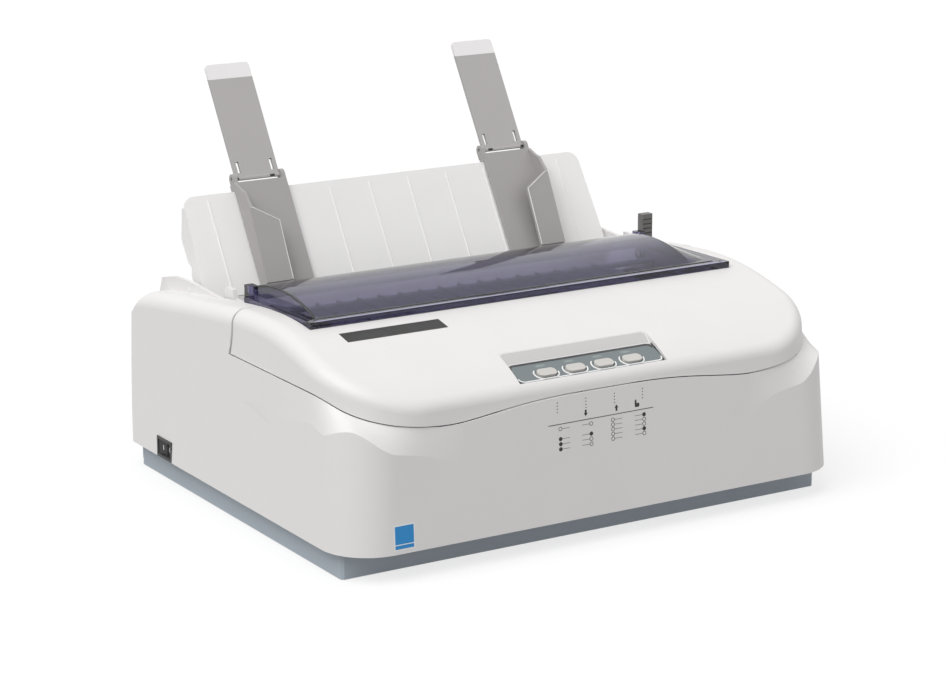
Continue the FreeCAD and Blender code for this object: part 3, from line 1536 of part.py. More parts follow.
def make_belt():
    inner = s.pulley_radius + s.part_gap
    low = s.belt_bottom
    belt = Solid("carriage_belt")
    belt.pad("XY", [stadium(inner + s.belt_thickness), stadium(inner)], low, low + s.belt_height)
    flange = s.pulley_flange
    gap = s.part_gap
    for name, place in (("drive_pulley", -s.pulley_place), ("idler_pulley", s.pulley_place)):
        pulley = Solid(name)
        pulley.pad("XY", [circle(place, s.belt_back, s.pulley_radius)], low - gap - flange, low + s.belt_height + gap + flange)
        for bottom in (low - gap - flange, low + s.belt_height + gap):
            pulley.pad("XY", [circle(place, s.belt_back, s.pulley_flange_radius)], bottom, bottom + flange)
        if name == "idler_pulley":
            bore = circle(place, s.belt_back, s.pulley_shaft_radius + s.running_gap)
            pulley.cut("XY", [bore], low - s.belt_height, low + s.belt_height * 2)
        else:
            shaft = circle(place, s.belt_back, s.pulley_shaft_radius)
            pulley.pad("XY", [shaft], low - s.belt_height * 3, low)
    seat = low - gap * 2 - flange
    motor_top = seat - s.motor_bracket_thickness - gap
    half = s.carriage_motor_size / 2
    left, back = -s.pulley_place, s.belt_back
    motor = Solid("carriage_motor")
    outline = rounded(left - half, back - half, left + half, back + half, s.arm_corner)
    motor.pad("XY", [outline], motor_top - s.carriage_motor_length, motor_top)
    bore = circle(left, back, s.pulley_shaft_radius + s.running_gap)
    motor.cut("XY", [bore], motor_top - s.carriage_motor_length / 2, motor_top)
    bracket = Solid("motor_bracket")
    plate = rectangle(-s.frame_inner, back - half, left + half, back + half)
    bracket.pad("XY", [plate], motor_top, motor_top + s.motor_bracket_thickness)
    bracket.cut("XY", [circle(left, back, s.pulley_shaft_radius * 2)], motor_top, motor_top + s.overrun)
    holder = Solid("belt_tensioner")
    depth = s.tensioner_depth / 2
    arm = rectangle(s.pulley_place - depth, back - depth, s.frame_inner, back + depth)
    holder.pad("XY", [arm], seat - s.tensioner_thickness, seat)
    stud = circle(s.pulley_place, back, s.pulley_shaft_radius)
    holder.pad("XY", [stud], seat - s.tensioner_thickness, low + s.belt_height + s.overrun)


def make_feed_motor():
    half = s.feed_motor_size / 2
    motor = Solid("feed_motor")
    outline = rounded(pinion_y - half, pinion_z - half, pinion_y + half, pinion_z + half, s.arm_corner)
    motor.pad("YZ", [outline], -frame_outer - s.feed_motor_length, -frame_outer)
    bore = circle(pinion_y, pinion_z, s.pinion_shaft_radius + s.running_gap)
    motor.cut("YZ", [bore], -frame_outer - s.feed_motor_length * 0.6, -frame_outer)


def make_ribbon():
    arm_inner_x = s.platen_half_length + s.part_gap * 2
    half = arm_inner_x + s.cartridge_arm_width
    low = s.cartridge_bottom
    top = low + s.cartridge_height
    front = s.cartridge_front
    back = front + s.cartridge_depth
    box = Solid("ribbon_cartridge")
    box.pad("XY", [rounded(-half, front, half, back, s.arm_corner)], low, top)
    lug_front = front + s.cartridge_lug_depth
    for side in (-1, 1):
        left, right = both(side, arm_inner_x, half)
        box.pad("XY", [rectangle(left, back - s.arm_corner * 2, right, s.cartridge_arm_back)], s.cartridge_arm_bottom, top)
        left, right = both(side, half - s.arm_corner, s.frame_inner)
        box.pad("XY", [rectangle(left, lug_front, right, lug_front + s.cartridge_lug_depth)], low, low + s.cartridge_lug_height)
    knob_x = s.ribbon_knob_place
    knob_y = front + s.cartridge_depth / 2
    stud = circle(knob_x, knob_y, s.pulley_shaft_radius)
    box.pad("XY", [stud], top - s.overrun, top + s.ribbon_knob_height)
    knob = Solid("ribbon_knob")
    bore = circle(knob_x, knob_y, s.pulley_shaft_radius + s.running_gap)
    knob_low = top + s.part_gap
    knob.pad("XY", [circle(knob_x, knob_y, s.ribbon_knob_radius), bore], knob_low, knob_low + s.ribbon_knob_height)
    band = Solid("ribbon_band")
    strip = rectangle(-arm_inner_x, s.ribbon_front, arm_inner_x, s.ribbon_front + s.ribbon_thickness)
    band.pad("XY", [strip], platen_z - s.ribbon_width / 2, platen_z + s.ribbon_width / 2)


def make_lever():
    lever = Solid("paper_lever")
    low, high = s.lever_inner, s.lever_inner + s.lever_width
    y, z = s.lever_back, s.lever_pivot_height
    half = s.lever_depth / 2
    lever.pad("YZ", [circle(y, z, s.lever_hub_radius)], low, high)
    lever.pad("YZ", [rectangle(y - half, z, y + half, s.lever_grip_foot + s.overrun)], low, high)
    grip = rectangle(y - half, s.lever_grip_foot, y + half, s.lever_top)
    lever.pad("YZ", [grip], low, s.lever_inner + s.lever_grip_width)
    lever.cut("YZ", [circle(y, z, s.lever_stud_radius + s.running_gap)], low, high)


# Electrics


def make_electrics():
    board = Solid("main_board")
    low = s.board_height
    top = low + s.board_thickness
    board.pad("XY", [rectangle(s.board_left, s.board_front, s.board_right, s.board_back)], low, top)
    size = s.chip_size
    for place in (0.2, 0.5):
        left = s.board_left + place * (s.board_right - s.board_left)
        front = s.floor_plate_back + size / 2
        board.pad("XY", [rectangle(left, front, left + size, front + size)], top, top + s.chip_height)
    for place in (1, 2, 3):
        x = s.board_left + place * s.capacitor_radius * 2.6
        y = s.board_back - s.capacitor_radius * 3
        board.pad("XY", [circle(x, y, s.capacitor_radius)], top, top + s.capacitor_height)

    supply = Solid("power_supply")
    outline = rectangle(s.supply_left, s.supply_front, s.supply_right, s.supply_back)
    supply.pad("XY", [outline], tray_floor, tray_floor + s.supply_height)

    back = s.case_depth
    wall = s.case_wall
    half = s.inlet_width / 2
    place = s.inlet_place
    low = s.inlet_bottom
    inlet = Solid("ac_inlet")
    inlet.pad("XZ", [rectangle(place - half, low, place + half, low + s.inlet_height)], s.supply_back, back)
    opening = rectangle(place - half + wall, low + wall, place + half - wall, low + s.inlet_height - wall)
    inlet.cut("XZ", [opening], back - s.inlet_depth * 0.7, back)
    pins = []
    for step in (-1, 0, 1):
        x = place + step * half * 0.45
        z = low + s.inlet_height * (0.42 if step else 0.62)
        pins.append(rectangle(x - wall / 3, z - wall * 0.8, x + wall / 3, z + wall * 0.8))
    inlet.pad("XZ", pins, back - s.inlet_depth * 0.8, back - wall)

    ports = Solid("rear_ports")
    bottom = s.port_bottom
    riser = rectangle(s.port_place - s.port_width / 2, back - s.port_depth * 1.6, s.board_right - wall, back - s.port_depth * 0.95)
    ports.pad("XY", [riser], s.board_height + s.board_thickness, bottom + s.small_port_height)
    for middle, width, height in (
        (s.port_place, s.port_width, s.port_height),
        (s.small_port_place, s.small_port_width, s.small_port_height),
    ):
        half = width / 2
        outline = rectangle(middle - half, bottom, middle + half, bottom + height)
        ports.pad("XZ", [outline], back - s.port_depth * 1.2, back)
        opening = rectangle(middle - half + wall, bottom + wall, middle + half - wall, bottom + height - wall)
        ports.cut("XZ", [opening], back - s.port_depth * 0.5, back)


def make_switch():
    face = half_width
    front = s.switch_front
    back = front + s.switch_length
    low = s.base_height
    top = low + s.switch_frame_height
    rim = s.switch_rim
    frame = Solid("switch_frame")
    depth = s.switch_frame_depth
    frame.pad("XY", [rectangle(-face, front, depth - face, back)], low, top)
    hollow = rectangle(-face - s.overrun, front + rim, depth - rim - face, back - rim)
    frame.cut("XY", [hollow], low + rim, top - rim)
    middle = (front + back) / 2
    axis_x = s.rocker_dip * 2.1 - face
    pin = s.rocker_dip * 0.85
    hole = circle(axis_x, middle, pin + s.running_gap)
    frame.cut("XY", [hole], low, top - rim / 2)

    rocker = Solid("power_rocker", middle, 0, axis_x, 0)
    rocker.body.Placement = Placement(rocker.body.Placement.Base, Rotation(Z_AXIS, n.rocker_tilt))
    bind(rocker.body, "Placement.Rotation.Angle", s.rocker_tilt)
    half = s.switch_length / 2 - rim - s.part_gap * 2
    dip = s.rocker_dip
    thick = s.rocker_thickness
    outline = [(-dip, -half), (0, 0), (-dip, half), (thick - dip, half * 0.86), (thick, 0), (thick - dip, -half * 0.86)]
    outline.reverse()
    gap = s.part_gap
    rocker.pad("XY", [outline], low + rim + gap, top - rim - gap)
    rocker.pad("XY", [circle(0, 0, pin)], low + rim / 2, top - rim / 2 - gap)


# Control panel


def panel_point(along, up):
    """A point of the side view, measured along the film from its front edge and up from it."""
    slope = s.panel_slope
    return (
        s.panel_front + along * cosine(slope) - up * sine(slope),
        s.panel_height + along * sine(slope) + up * cosine(slope),
    )


def capsule(middle, along, length, width):
    return rounded(middle - length / 2, along - width / 2, middle + length / 2, along + width / 2, width * 0.45)


def make_panel():
    depth = s.housing_depth
    side = s.housing_side / 2
    middle = s.panel_middle
    half = s.film_width / 2
    floor_up = -(depth - side)
    housing = Solid("panel_housing")
    along = s.film_depth
    outline = [panel_point(0, 0), panel_point(0, -depth), panel_point(along, -depth), panel_point(along, 0)]
    housing.pad("YZ", [outline], middle - half, middle + half)
    hollow = [
        panel_point(side, side), panel_point(side, floor_up),
        panel_point(along - side, floor_up), panel_point(along - side, side),
    ]
    thick = s.bracket_thickness
    wall_y = (s.bracket_foot - s.base_height) * sine(s.wall_draft) + s.case_wall + s.part_gap * 3
    plate_y = wall_y + thick
    lug_top = s.gap_lobe_height - s.ledge_drop
    corner_y, corner_z = panel_point(side * 2, side - depth)
    leg = [
        (wall_y, s.bracket_foot), (plate_y + thick, s.bracket_foot), (plate_y + thick, corner_z - thick * 3),
        (corner_y + thick, corner_z - thick), (corner_y + thick, corner_z), (corner_y - thick, corner_z),
        (corner_y - thick, corner_z - thick), (plate_y, corner_z - thick * 3), (plate_y, lug_top), (wall_y, lug_top),
    ]
    housing.pad("YZ", [leg], middle - s.bracket_half_width, middle + s.bracket_half_width)
    housing.cut("YZ", [hollow], middle - half + side, middle + half - side)

    def tilted(label):
        return Solid(label, s.panel_front, s.panel_height, s.panel_middle, s.panel_slope)

    pitches = [place * s.button_pitch for place in (-1.5, -0.5, 0.5, 1.5)]
    gap = s.part_gap
    film = tilted("panel_film")
    outline = rounded(-half, 0, half, along, s.film_corner)
    film.pad("XY", [outline], 0, s.film_thickness)
    place = s.button_place
    holes = [capsule(x, place, s.button_length + gap * 2, s.button_width + gap * 2) for x in pitches]
    lights = [rectangle(x - s.light_length / 2, s.light_place, x + s.light_length / 2, s.light_place + s.light_width) for x in pitches]
    film.cut("XY", holes + lights, 0, s.film_thickness)

    board_low = floor_up
    board_top = board_low + s.panel_board_thickness
    board = tilted("panel_board")
    inner = half - side
    board.pad("XY", [rectangle(-inner, side, inner, along - side)], board_low, board_top)
    pads = [rectangle(x - s.light_width, place - s.light_width, x + s.light_width, place + s.light_width) for x in pitches]
    board.pad("XY", pads, board_top - s.panel_board_thickness / 2, board_top + s.switch_height)
    switch_top = board_top + s.switch_height
    glow = []
    for number, x in enumerate(pitches, start=1):
        light = doc.addObject("Part::Box", f"light_{number}")
        bind(light, "Length", s.light_length)
        bind(light, "Width", s.light_width)
        bind(light, "Height", s.film_thickness - board_top)
        slope = s.panel_slope
        up = board_top
        y = s.panel_front + s.light_place * cosine(slope) - up * sine(slope)
        z = s.panel_height + s.light_place * sine(slope) + up * cosine(slope)
        light.Placement = Placement(Vector(0, value(y), value(z)), Rotation(X_AXIS, value(slope)))
        bind(light, "Placement.Base.x", middle + x - s.light_length / 2)
        bind(light, "Placement.Base.y", y)
        bind(light, "Placement.Base.z", z)
        bind(light, "Placement.Rotation.Angle", slope)
        glow.append(light)
    gather("panel_lights", glow)
    for number, x in enumerate(pitches, start=1):
        button = tilted(f"button_{number}")
        low = switch_top + s.button_travel + gap / 2
        button.pad("XY", [capsule(x, place, s.button_length, s.button_width)], low, s.film_thickness + s.button_rise)
        flange = rectangle(
            x - s.button_length / 2 - gap * 3, place - s.button_width / 2 - gap,
            x + s.button_length / 2 + gap * 3, place + s.button_width / 2 + gap,
        )
        button.pad("XY", [flange], low, -gap * 2)


def make_plate():
    plate = Solid("label_plate", s.plate_front, s.plate_lift, s.plate_left, s.plate_slope)
    plate.pad("XY", [rectangle(0, 0, s.plate_length, s.plate_depth)], 0, s.plate_thickness)


# Cover over the hood's window


def seat_at(back):
    """Height of the rim's underside."""
    fall = (s.cover_seat_front - s.cover_seat_back) / (s.cover_back - s.cover_front)
    return s.cover_seat_front - (back - s.cover_front) * fall


def dome_outline(inset, share=1):
    """Side view of the dome, or with an inset of its hollow, open towards the bottom. The share
    lowers it towards its foot."""
    front = s.dome_front + inset
    crest = s.dome_foot_height + (s.dome_crest_height - s.dome_foot_height) * share - inset
    foot = s.dome_foot_height - inset / 2
    back = s.cover_back - s.cover_wall * 1.6 - inset
    run = s.dome_crest_back - front
    fall = crest - foot
    front_radius = (run * run + fall * fall) / (fall * 2)
    rear_run = back - s.dome_crest_back
    rear_fall = (s.dome_crest_height - s.dome_rear_height) * share
    rear_radius = (rear_run * rear_run + rear_fall * rear_fall) / (rear_fall * 2)
    low = s.cover_seat_back + s.overrun if value(inset) == 0 else s.cover_seat_back - s.cover_rim_height
    return [
        (back, low), (back, crest - rear_fall, rear_radius), (s.dome_crest_back, crest, front_radius),
        (front, foot), (front, low),
    ]


def make_cover():
    cover = Solid("access_cover")
    half = s.cover_half_width
    front, back = s.cover_front, s.cover_back
    rim = s.cover_rim_height
    flange = [(front, seat_at(front)), (back, seat_at(back)), (back, seat_at(back) + rim), (front, seat_at(front) + rim)]
    cover.pad("YZ", [flange], -half, half)
    dome_half = s.dome_half_width
    wall = s.cover_wall
    bend = s.dome_bend
    low_share = s.dome_end_share
    cover.pad("YZ", [dome_outline(as_size(0))], -dome_half, bend)
    cover.taper("Additive", dome_outline(as_size(0)), dome_outline(as_size(0), low_share), bend, dome_half)
    cover.cut("YZ", [dome_outline(wall)], wall - dome_half, bend)
    cover.taper("Subtractive", dome_outline(wall), dome_outline(wall, low_share), bend, dome_half - wall)
    notch_inner = s.frame_inner + s.frame_thickness - s.part_gap
    notches = []
    for side in (-1, 1):
        left, right = both(side, notch_inner, half + s.overrun)
        notches.append(rectangle(left, back - s.cover_ear_depth * 1.4, right, back + s.overrun))
    cover.cut("XY", notches, s.cover_seat_back - rim, s.cover_ear_height)
    for side in (-1, 1):
        left, right = both(side, notch_inner - s.cover_ear_width / 2, notch_inner)
        ear = rectangle(left, back - s.cover_ear_depth, right, back)
        cover.pad("XY", [ear], seat_at(back), s.cover_ear_height)
        radius = s.cover_lug_radius
        y, z = s.cover_axis_back, s.cover_axis_height
        lug = [
            (y - radius, z, radius), (y, z - radius, radius), (y + radius, z),
            (y + radius / 2, s.cover_seat_back + rim / 2), (y - radius, s.cover_seat_back + rim / 2),
        ]
        left, right = both(side, notch_inner - s.cover_lug_thickness, notch_inner)
        cover.pad("YZ", [lug], left, right)
        cover.cut("YZ", [circle(y, z, s.cover_pin_radius + s.running_gap)], left, right)


def main():
    make_tray()
    make_feet()
    make_screws()
    keep("main_case", make_case_solid())
    keep("hood", make_hood_solid())
    make_plates()
    make_paper_path()
    make_gears()
    make_platen()
    make_carriage()
    make_belt()
    make_feed_motor()
    make_ribbon()
    make_lever()
    make_electrics()
    make_switch()
    make_panel()
    make_plate()
    make_cover()
    make_table()
    for side in (-1, 1):
        make_frame(side)
        make_guide(side)
        make_arm(side)
        make_tractor(side)
    across_rod("carriage_rod", s.rod_radius, s.rod_back, s.rod_height, -s.frame_inner, s.frame_inner)
    finish()


def finish():
    doc.recompute()
    os.makedirs("parts", exist_ok=True)
    troubled = [
        thing.Name for thing in doc.Objects
        if any(word in ("Invalid", "Error") for word in thing.State)
    ]
    if troubled:
        raise RuntimeError(f"These did not build: {troubled}")
    for thing in doc.RootObjects:
        if not hasattr(thing, "Shape") or thing.TypeId == "Sketcher::SketchObject":
            continue
        if thing.Shape.isNull() or not thing.Shape.isValid():
            raise RuntimeError(f"{thing.Label} has no valid shape")
        thing.Shape.exportStep(f"parts/{thing.Label}.step")
        solids = len(thing.Shape.Solids)
        print(f"{thing.Label}: {solids} solid, {thing.Shape.Volume:.0f} mm3")


main()
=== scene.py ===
import math

import bmesh
import bpy
from bpy.props import FloatProperty, FloatVectorProperty, IntProperty, PointerProperty
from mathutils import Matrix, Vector
from mathutils.bvhtree import BVHTree


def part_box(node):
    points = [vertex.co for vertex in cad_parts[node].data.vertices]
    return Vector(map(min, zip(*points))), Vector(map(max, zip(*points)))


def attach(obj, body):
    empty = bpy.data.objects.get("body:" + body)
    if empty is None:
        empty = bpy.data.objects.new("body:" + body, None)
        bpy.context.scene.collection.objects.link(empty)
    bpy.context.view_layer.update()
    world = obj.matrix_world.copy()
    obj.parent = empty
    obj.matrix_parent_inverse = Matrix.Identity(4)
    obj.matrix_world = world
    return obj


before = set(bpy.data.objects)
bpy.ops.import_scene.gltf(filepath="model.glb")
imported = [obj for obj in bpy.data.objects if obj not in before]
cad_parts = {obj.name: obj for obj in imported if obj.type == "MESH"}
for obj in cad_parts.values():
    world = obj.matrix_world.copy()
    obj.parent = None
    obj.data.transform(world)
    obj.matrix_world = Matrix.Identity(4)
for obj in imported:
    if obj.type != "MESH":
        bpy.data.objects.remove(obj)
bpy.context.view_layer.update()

bl_info = {
    "name": "Dot Matrix Printer Dressing",
    "version": (1, 0, 0),
    "blender": (4, 5, 0),
    "location": "3D View > Sidebar > Printer",
    "description": "Finishes, printed artwork, small trim, camera and studio for the printer",
    "category": "Object",
}

MM = 0.001
RIGHT = Vector((1, 0, 0))
BACK = Vector((0, 1, 0))
UP = Vector((0, 0, 1))
WHITE = (1, 1, 1, 1)


def tint(red, green, blue):
    """Linear colour of a screen colour given in steps of 0 to 255."""
    shares = (value / 255 for value in (red, green, blue))
    return tuple(v / 12.92 if v <= 0.04045 else ((v + 0.055) / 1.055) ** 2.4 for v in shares)


def opaque(colour):
    return (*colour, 1.0)


def hue(name, description, *steps):
    """A colour that a user can set, given in steps of 0 to 255."""
    return FloatVectorProperty(
        name=name, description=description, subtype="COLOR", min=0, max=1, default=tint(*steps)
    )


def size(name, description, millimetres):
    """A length that a user can set."""
    return FloatProperty(
        name=name, description=description, subtype="DISTANCE", unit="LENGTH", min=0,
        default=millimetres * MM,
    )


# Settings that a user changes


class StudioSettings(bpy.types.PropertyGroup):
    """Camera, lamps and floor."""

    camera_place: FloatVectorProperty(
        name="Camera place", description="Where the camera stands", subtype="TRANSLATION",
        default=(-1.06495, -1.72980, 0.63782),
    )
    camera_tilt: FloatProperty(
        name="Camera tilt", description="Angle of the view above straight down", subtype="ANGLE",
        default=math.radians(75.316),
    )
    camera_turn: FloatProperty(
        name="Camera turn", description="Turn of the view about the vertical", subtype="ANGLE",
        default=math.radians(-31.6156),
    )
    camera_lens: FloatProperty(
        name="Focal length", description="Focal length on a sensor 36 mm wide", default=108.07
    )
    sky: FloatProperty(name="Sky light", description="Strength of the even light", default=0.50)
    key: FloatProperty(name="Key lamp", description="Strength of the main soft lamp", default=2.05)
    fill: FloatProperty(name="Fill lamp", description="Strength of the front fill lamp", default=0.22)
    floor: hue("Floor", "Colour of the floor as it lights the object", 158, 158, 158)


class ColourSettings(bpy.types.PropertyGroup):
    """Colours of the mouldings, metals, print and boards, and of the painted shade and light on the
    recess and the cover's lip.
    """

    case: hue("Case", "Warm white of the case and hood", 231, 229, 228)
    table: hue("Paper table", "White of the paper table", 242, 241, 240)
    tray: hue("Tray", "Blue grey of the base tray", 175, 185, 194)
    guide: hue("Guides", "Grey of the edge guides", 168, 165, 164)
    arm: hue("Arms", "Grey of the extension arms", 179, 176, 175)
    # This pale grey also colours the painted highlight lines along the guide lips.
    guide_tip: hue("Arm tips", "Pale grey of the arm tips", 240, 238, 238)
    lever: hue("Lever", "Darker grey of the paper lever", 112, 110, 108)
    pale: hue("Inner mouldings", "Pale grey of the paper path", 196, 194, 192)
    # Black also paints shade: the line at the dome's foot, the band along the panel film's top edge and
    # the crosses on the screw heads.
    black: hue("Black mouldings", "Black of the inlet, switch and cartridge", 30, 30, 32)
    plate: hue("Name plate", "Near black of the bare name plate", 12, 12, 12)
    smoke: hue("Cover", "Violet smoke of the clear cover", 126, 123, 158)
    film: hue("Panel film", "Grey of the panel film", 112, 121, 124)
    button: hue("Buttons", "Pale grey of the buttons", 202, 199, 195)
    light: hue("Lights", "Unlit grey green of the indicator windows", 134, 147, 142)
    # Rubber also paints shade: the line in the gap between hood and case and the strip round the cover.
    rubber: hue("Rubber", "Black rubber of the feet, platen and belt", 38, 38, 39)
    gear: hue("Gears", "Natural nylon of the gears", 222, 216, 198)
    board: hue("Board", "Green of the circuit boards", 34, 92, 58)
    copper: hue("Tracks", "Paler green over the copper tracks", 58, 124, 78)
    ink: hue("Ink", "Dark grey of the printed legend", 42, 40, 42)
    # The same white also paints the highlight along the panel film's lower rim.
    chalk: hue("White ink", "White of the panel rings and marks", 240, 240, 240)
    sticker: hue("Sticker", "Blue of the front sticker", 28, 138, 205)
    # Painted light: the lip colour is a pale tone standing in for light showing through the clear front
    # edge.
    lip: hue("Cover lip", "Pale violet of the cover's front lip", 186, 183, 208)
    # Painted shade: the recess colour is a greyer tone standing in for the shade on the slope behind the
    # panel film.
    slope: hue("Recess", "Pale grey of the panel's back slope", 205, 203, 201)
    zinc: hue("Zinc", "Zinc plated steel", 176, 178, 180)
    brass: hue("Brass", "Brass of the contacts", 205, 170, 100)
    ground: hue("Ground steel", "Ground steel of rods and shafts", 196, 198, 200)
    anodised: hue("Anodised", "Dark anodised aluminium of the head", 70, 71, 74)


class ArtworkSettings(bpy.types.PropertyGroup):
    """Sizes of the printed artwork, the small trim and the painted shade and highlight lines."""

    ink_depth: size("Ink depth", "Thickness of printed ink", 0.05)
    line: size("Line", "Width of a printed line", 0.45)
    ring: size("Ring", "Outer radius of a legend ring", 1.5)
    dot: size("Dot", "Radius of a leader dot", 0.42)
    collar: size("Collar", "Thickness of a button collar", 1.1)
    grip: size("Grip", "Height of a lever ridge", 0.9)
    # Painted shade: thickness of the black line at the dome's foot.
    foot_shade_thickness: size("Gasket", "Thickness of the dark line at the dome's foot", 0.9)
    # The next two sizes are for painted shade: a black line inside the gap between hood and case.
    gap_shade_thickness: size("Seal", "Thickness of the seal between hood and case", 0.9)
    gap_shade_depth: size("Seal depth", "How far the seal lies behind the hood's face", 0.7)
    skirt_reach: size("Skirt reach", "How far the skirt stands before the tray's front", 6.0)
    skirt_wall: size("Skirt wall", "Thickness of the skirt's wall", 1.4)
    skirt_proud: size("Skirt proud", "How far the skirt stands outside the tray's sides", 0.3)
    skirt_lift: size("Skirt lift", "Gap between the skirt and the floor", 0.4)
    # Painted highlight: thickness of the pale lines along the guide lips.
    highlight_line: size("Trim line", "Thickness of the pale lines on the guides", 0.7)
    legend_rows: IntProperty(name="Legend rows", description="Rows in the right column", default=5)


# Node graphs


def plug(tree, node, inputs):
    """A node whose sockets are linked or given a value."""
    for name, value in inputs.items():
        if isinstance(value, bpy.types.NodeSocket):
            tree.links.new(value, node.inputs[name])
        else:
            node.inputs[name].default_value = value
    return node


def add(tree, kind, inputs=None, **settings):
    """A new node with its settings and its sockets."""
    node = tree.nodes.new(kind)
    for name, value in settings.items():
        setattr(node, name, value)
    return plug(tree, node, inputs or {})


def reckon(tree, operation, first, second, clamp=False):
    """A sum of two values, given as numbers or sockets."""
    inputs = {0: first, 1: second}
    return add(tree, "ShaderNodeMath", inputs, operation=operation, use_clamp=clamp).outputs[0]


def shaded(tree, colour, share):
    """A colour made paler or darker by a share."""
    return add(tree, "ShaderNodeVectorMath", {0: colour, "Scale": share}, operation="SCALE").outputs[0]


def blend(tree, factor, before, after):
    """A colour between two colours."""
    inputs = {"Factor": factor, 6: before, 7: after}
    return add(tree, "ShaderNodeMix", inputs, data_type="RGBA").outputs[2]


def noise(tree, place, scale, detail, roughness=0.5):
    """Noise with so many patches to the metre."""
    inputs = {"Vector": place, "Scale": scale, "Detail": detail, "Roughness": roughness}
    return add(tree, "ShaderNodeTexNoise", inputs).outputs[0]


def spread(tree, patches, low, high):
    """A noise value stretched between two ends, given as numbers or sockets."""
    inputs = {"Value": patches, "From Min": 0.3, "From Max": 0.7, "To Min": low, "To Max": high}
    return add(tree, "ShaderNodeMapRange", inputs).outputs[0]


def object_place(tree):
    return add(tree, "ShaderNodeTexCoord").outputs["Object"]


def new_group(name, inputs, outputs):
    """A shader node group and its two end nodes, with its inputs' values as they start."""
    group = bpy.data.node_groups.new(name, "ShaderNodeTree")
    kinds = {4: "NodeSocketColor", 3: "NodeSocketVector"}
    for label, default in inputs.items():
        kind = "NodeSocketFloat" if isinstance(default, float) else kinds[len(default)]
        group.interface.new_socket(label, in_out="INPUT", socket_type=kind).default_value = default
    for label in outputs:
        kind = "NodeSocketColor" if label == "Colour" else "NodeSocketFloat"
        group.interface.new_socket(label, in_out="OUTPUT", socket_type=kind)
    return group, group.nodes.new("NodeGroupInput"), group.nodes.new("NodeGroupOutput")


def grain_group():
    """Moulded plastic: faint mottling, uneven sheen and a fine spark texture."""
    group, start, end = new_group("Moulded Grain", {
        "Colour": (0.8, 0.8, 0.8, 1), "Mottle": 0.03, "Mottles per Metre": 30.0,
        "Grains per Metre": 1600.0, "Roughness": 0.45, "Roughness Spread": 0.08,
    }, ("Colour", "Roughness", "Height"))
    given = start.outputs
    place = object_place(group)
    broad = noise(group, place, given["Mottles per Metre"], 3.0)
    less = reckon(group, "SUBTRACT", 1.0, given["Mottle"])
    more = reckon(group, "ADD", 1.0, given["Mottle"])
    dull = reckon(group, "ADD", given["Roughness"], given["Roughness Spread"])
    plug(group, end, {
        "Colour": shaded(group, given["Colour"], spread(group, broad, less, more)),
        "Roughness": spread(group, broad, given["Roughness"], dull),
        "Height": noise(group, place, given["Grains per Metre"], 2.0),
    })
    return group


def dust_group():
    """Dust that settles on faces which look up."""
    group, start, end = new_group("Settled Dust", {
        "Colour": (0.8, 0.8, 0.8, 1), "Dust": (0.5, 0.49, 0.47, 1), "Roughness": 0.45, "Amount": 0.1,
    }, ("Colour", "Roughness"))
    given = start.outputs
    coords = add(group, "ShaderNodeTexCoord")
    level = add(group, "ShaderNodeSeparateXYZ", {0: coords.outputs["Normal"]}).outputs["Z"]
    upward = add(group, "ShaderNodeMapRange", {"Value": level, "From Min": 0.35, "From Max": 1.0})
    patch = noise(group, coords.outputs["Object"], 90.0, 6.0, 0.7)
    lying = reckon(group, "MULTIPLY", upward.outputs[0], spread(group, patch, 0.3, 1.0))
    factor = reckon(group, "MULTIPLY", lying, given["Amount"], clamp=True)
    dull = add(group, "ShaderNodeMix", {"Factor": factor, 2: given["Roughness"], 3: 0.9})
    plug(group, end, {
        "Colour": blend(group, factor, given["Colour"], given["Dust"]), "Roughness": dull.outputs[0],
    })
    return group


def wear_and_highlight_group():
    """Edges rubbed paler by handling; the paler edges are also a painted highlight along them."""
    group, start, end = new_group("Edge Wear and Highlight", {
        "Colour": (0.8, 0.8, 0.8, 1), "Rubbed": (0.9, 0.9, 0.9, 1), "Amount": 0.3, "Radius": 0.0008,
    }, ("Colour", "Mask"))
    given = start.outputs
    geometry = add(group, "ShaderNodeNewGeometry")
    rounded = add(group, "ShaderNodeBevel", {"Radius": given["Radius"]}, samples=4)
    turn = add(group, "ShaderNodeVectorMath", {
        0: rounded.outputs[0], 1: geometry.outputs["Normal"],
    }, operation="DOT_PRODUCT").outputs["Value"]
    edge = add(group, "ShaderNodeMapRange", {"Value": turn, "From Min": 0.995, "From Max": 0.8})
    patch = noise(group, object_place(group), 160.0, 4.0)
    worn = reckon(group, "MULTIPLY", edge.outputs[0], spread(group, patch, 0.2, 1.0))
    factor = reckon(group, "MULTIPLY", worn, given["Amount"], clamp=True)
    plug(group, end, {
        "Colour": blend(group, factor, given["Colour"], given["Rubbed"]), "Mask": factor,
    })
    return group


def brushed_group():
    """Metal with fine lines drawn one way and faint stains."""
    group, start, end = new_group("Brushed Metal", {
        "Colour": (0.6, 0.6, 0.6, 1), "Lines": (20.0, 1500.0, 1500.0), "Roughness": 0.3, "Stain": 0.08,
    }, ("Colour", "Roughness", "Height"))
    given = start.outputs
    place = object_place(group)
    drawn = add(group, "ShaderNodeVectorMath", {0: place, 1: given["Lines"]}, operation="MULTIPLY")
    lines = noise(group, drawn.outputs[0], 1.0, 2.0)
    patch = noise(group, place, 45.0, 5.0)
    less = reckon(group, "SUBTRACT", 1.0, given["Stain"])
    dull = reckon(group, "ADD", given["Roughness"], 0.15)
    plug(group, end, {
        "Colour": shaded(group, given["Colour"], spread(group, patch, less, 1.0)),
        "Roughness": spread(group, lines, given["Roughness"], dull),
        "Height": lines,
    })
    return group


GROUP_MAKERS = {
    "Moulded Grain": grain_group,
    "Settled Dust": dust_group,
    "Edge Wear and Highlight": wear_and_highlight_group,
    "Brushed Metal": brushed_group,
}


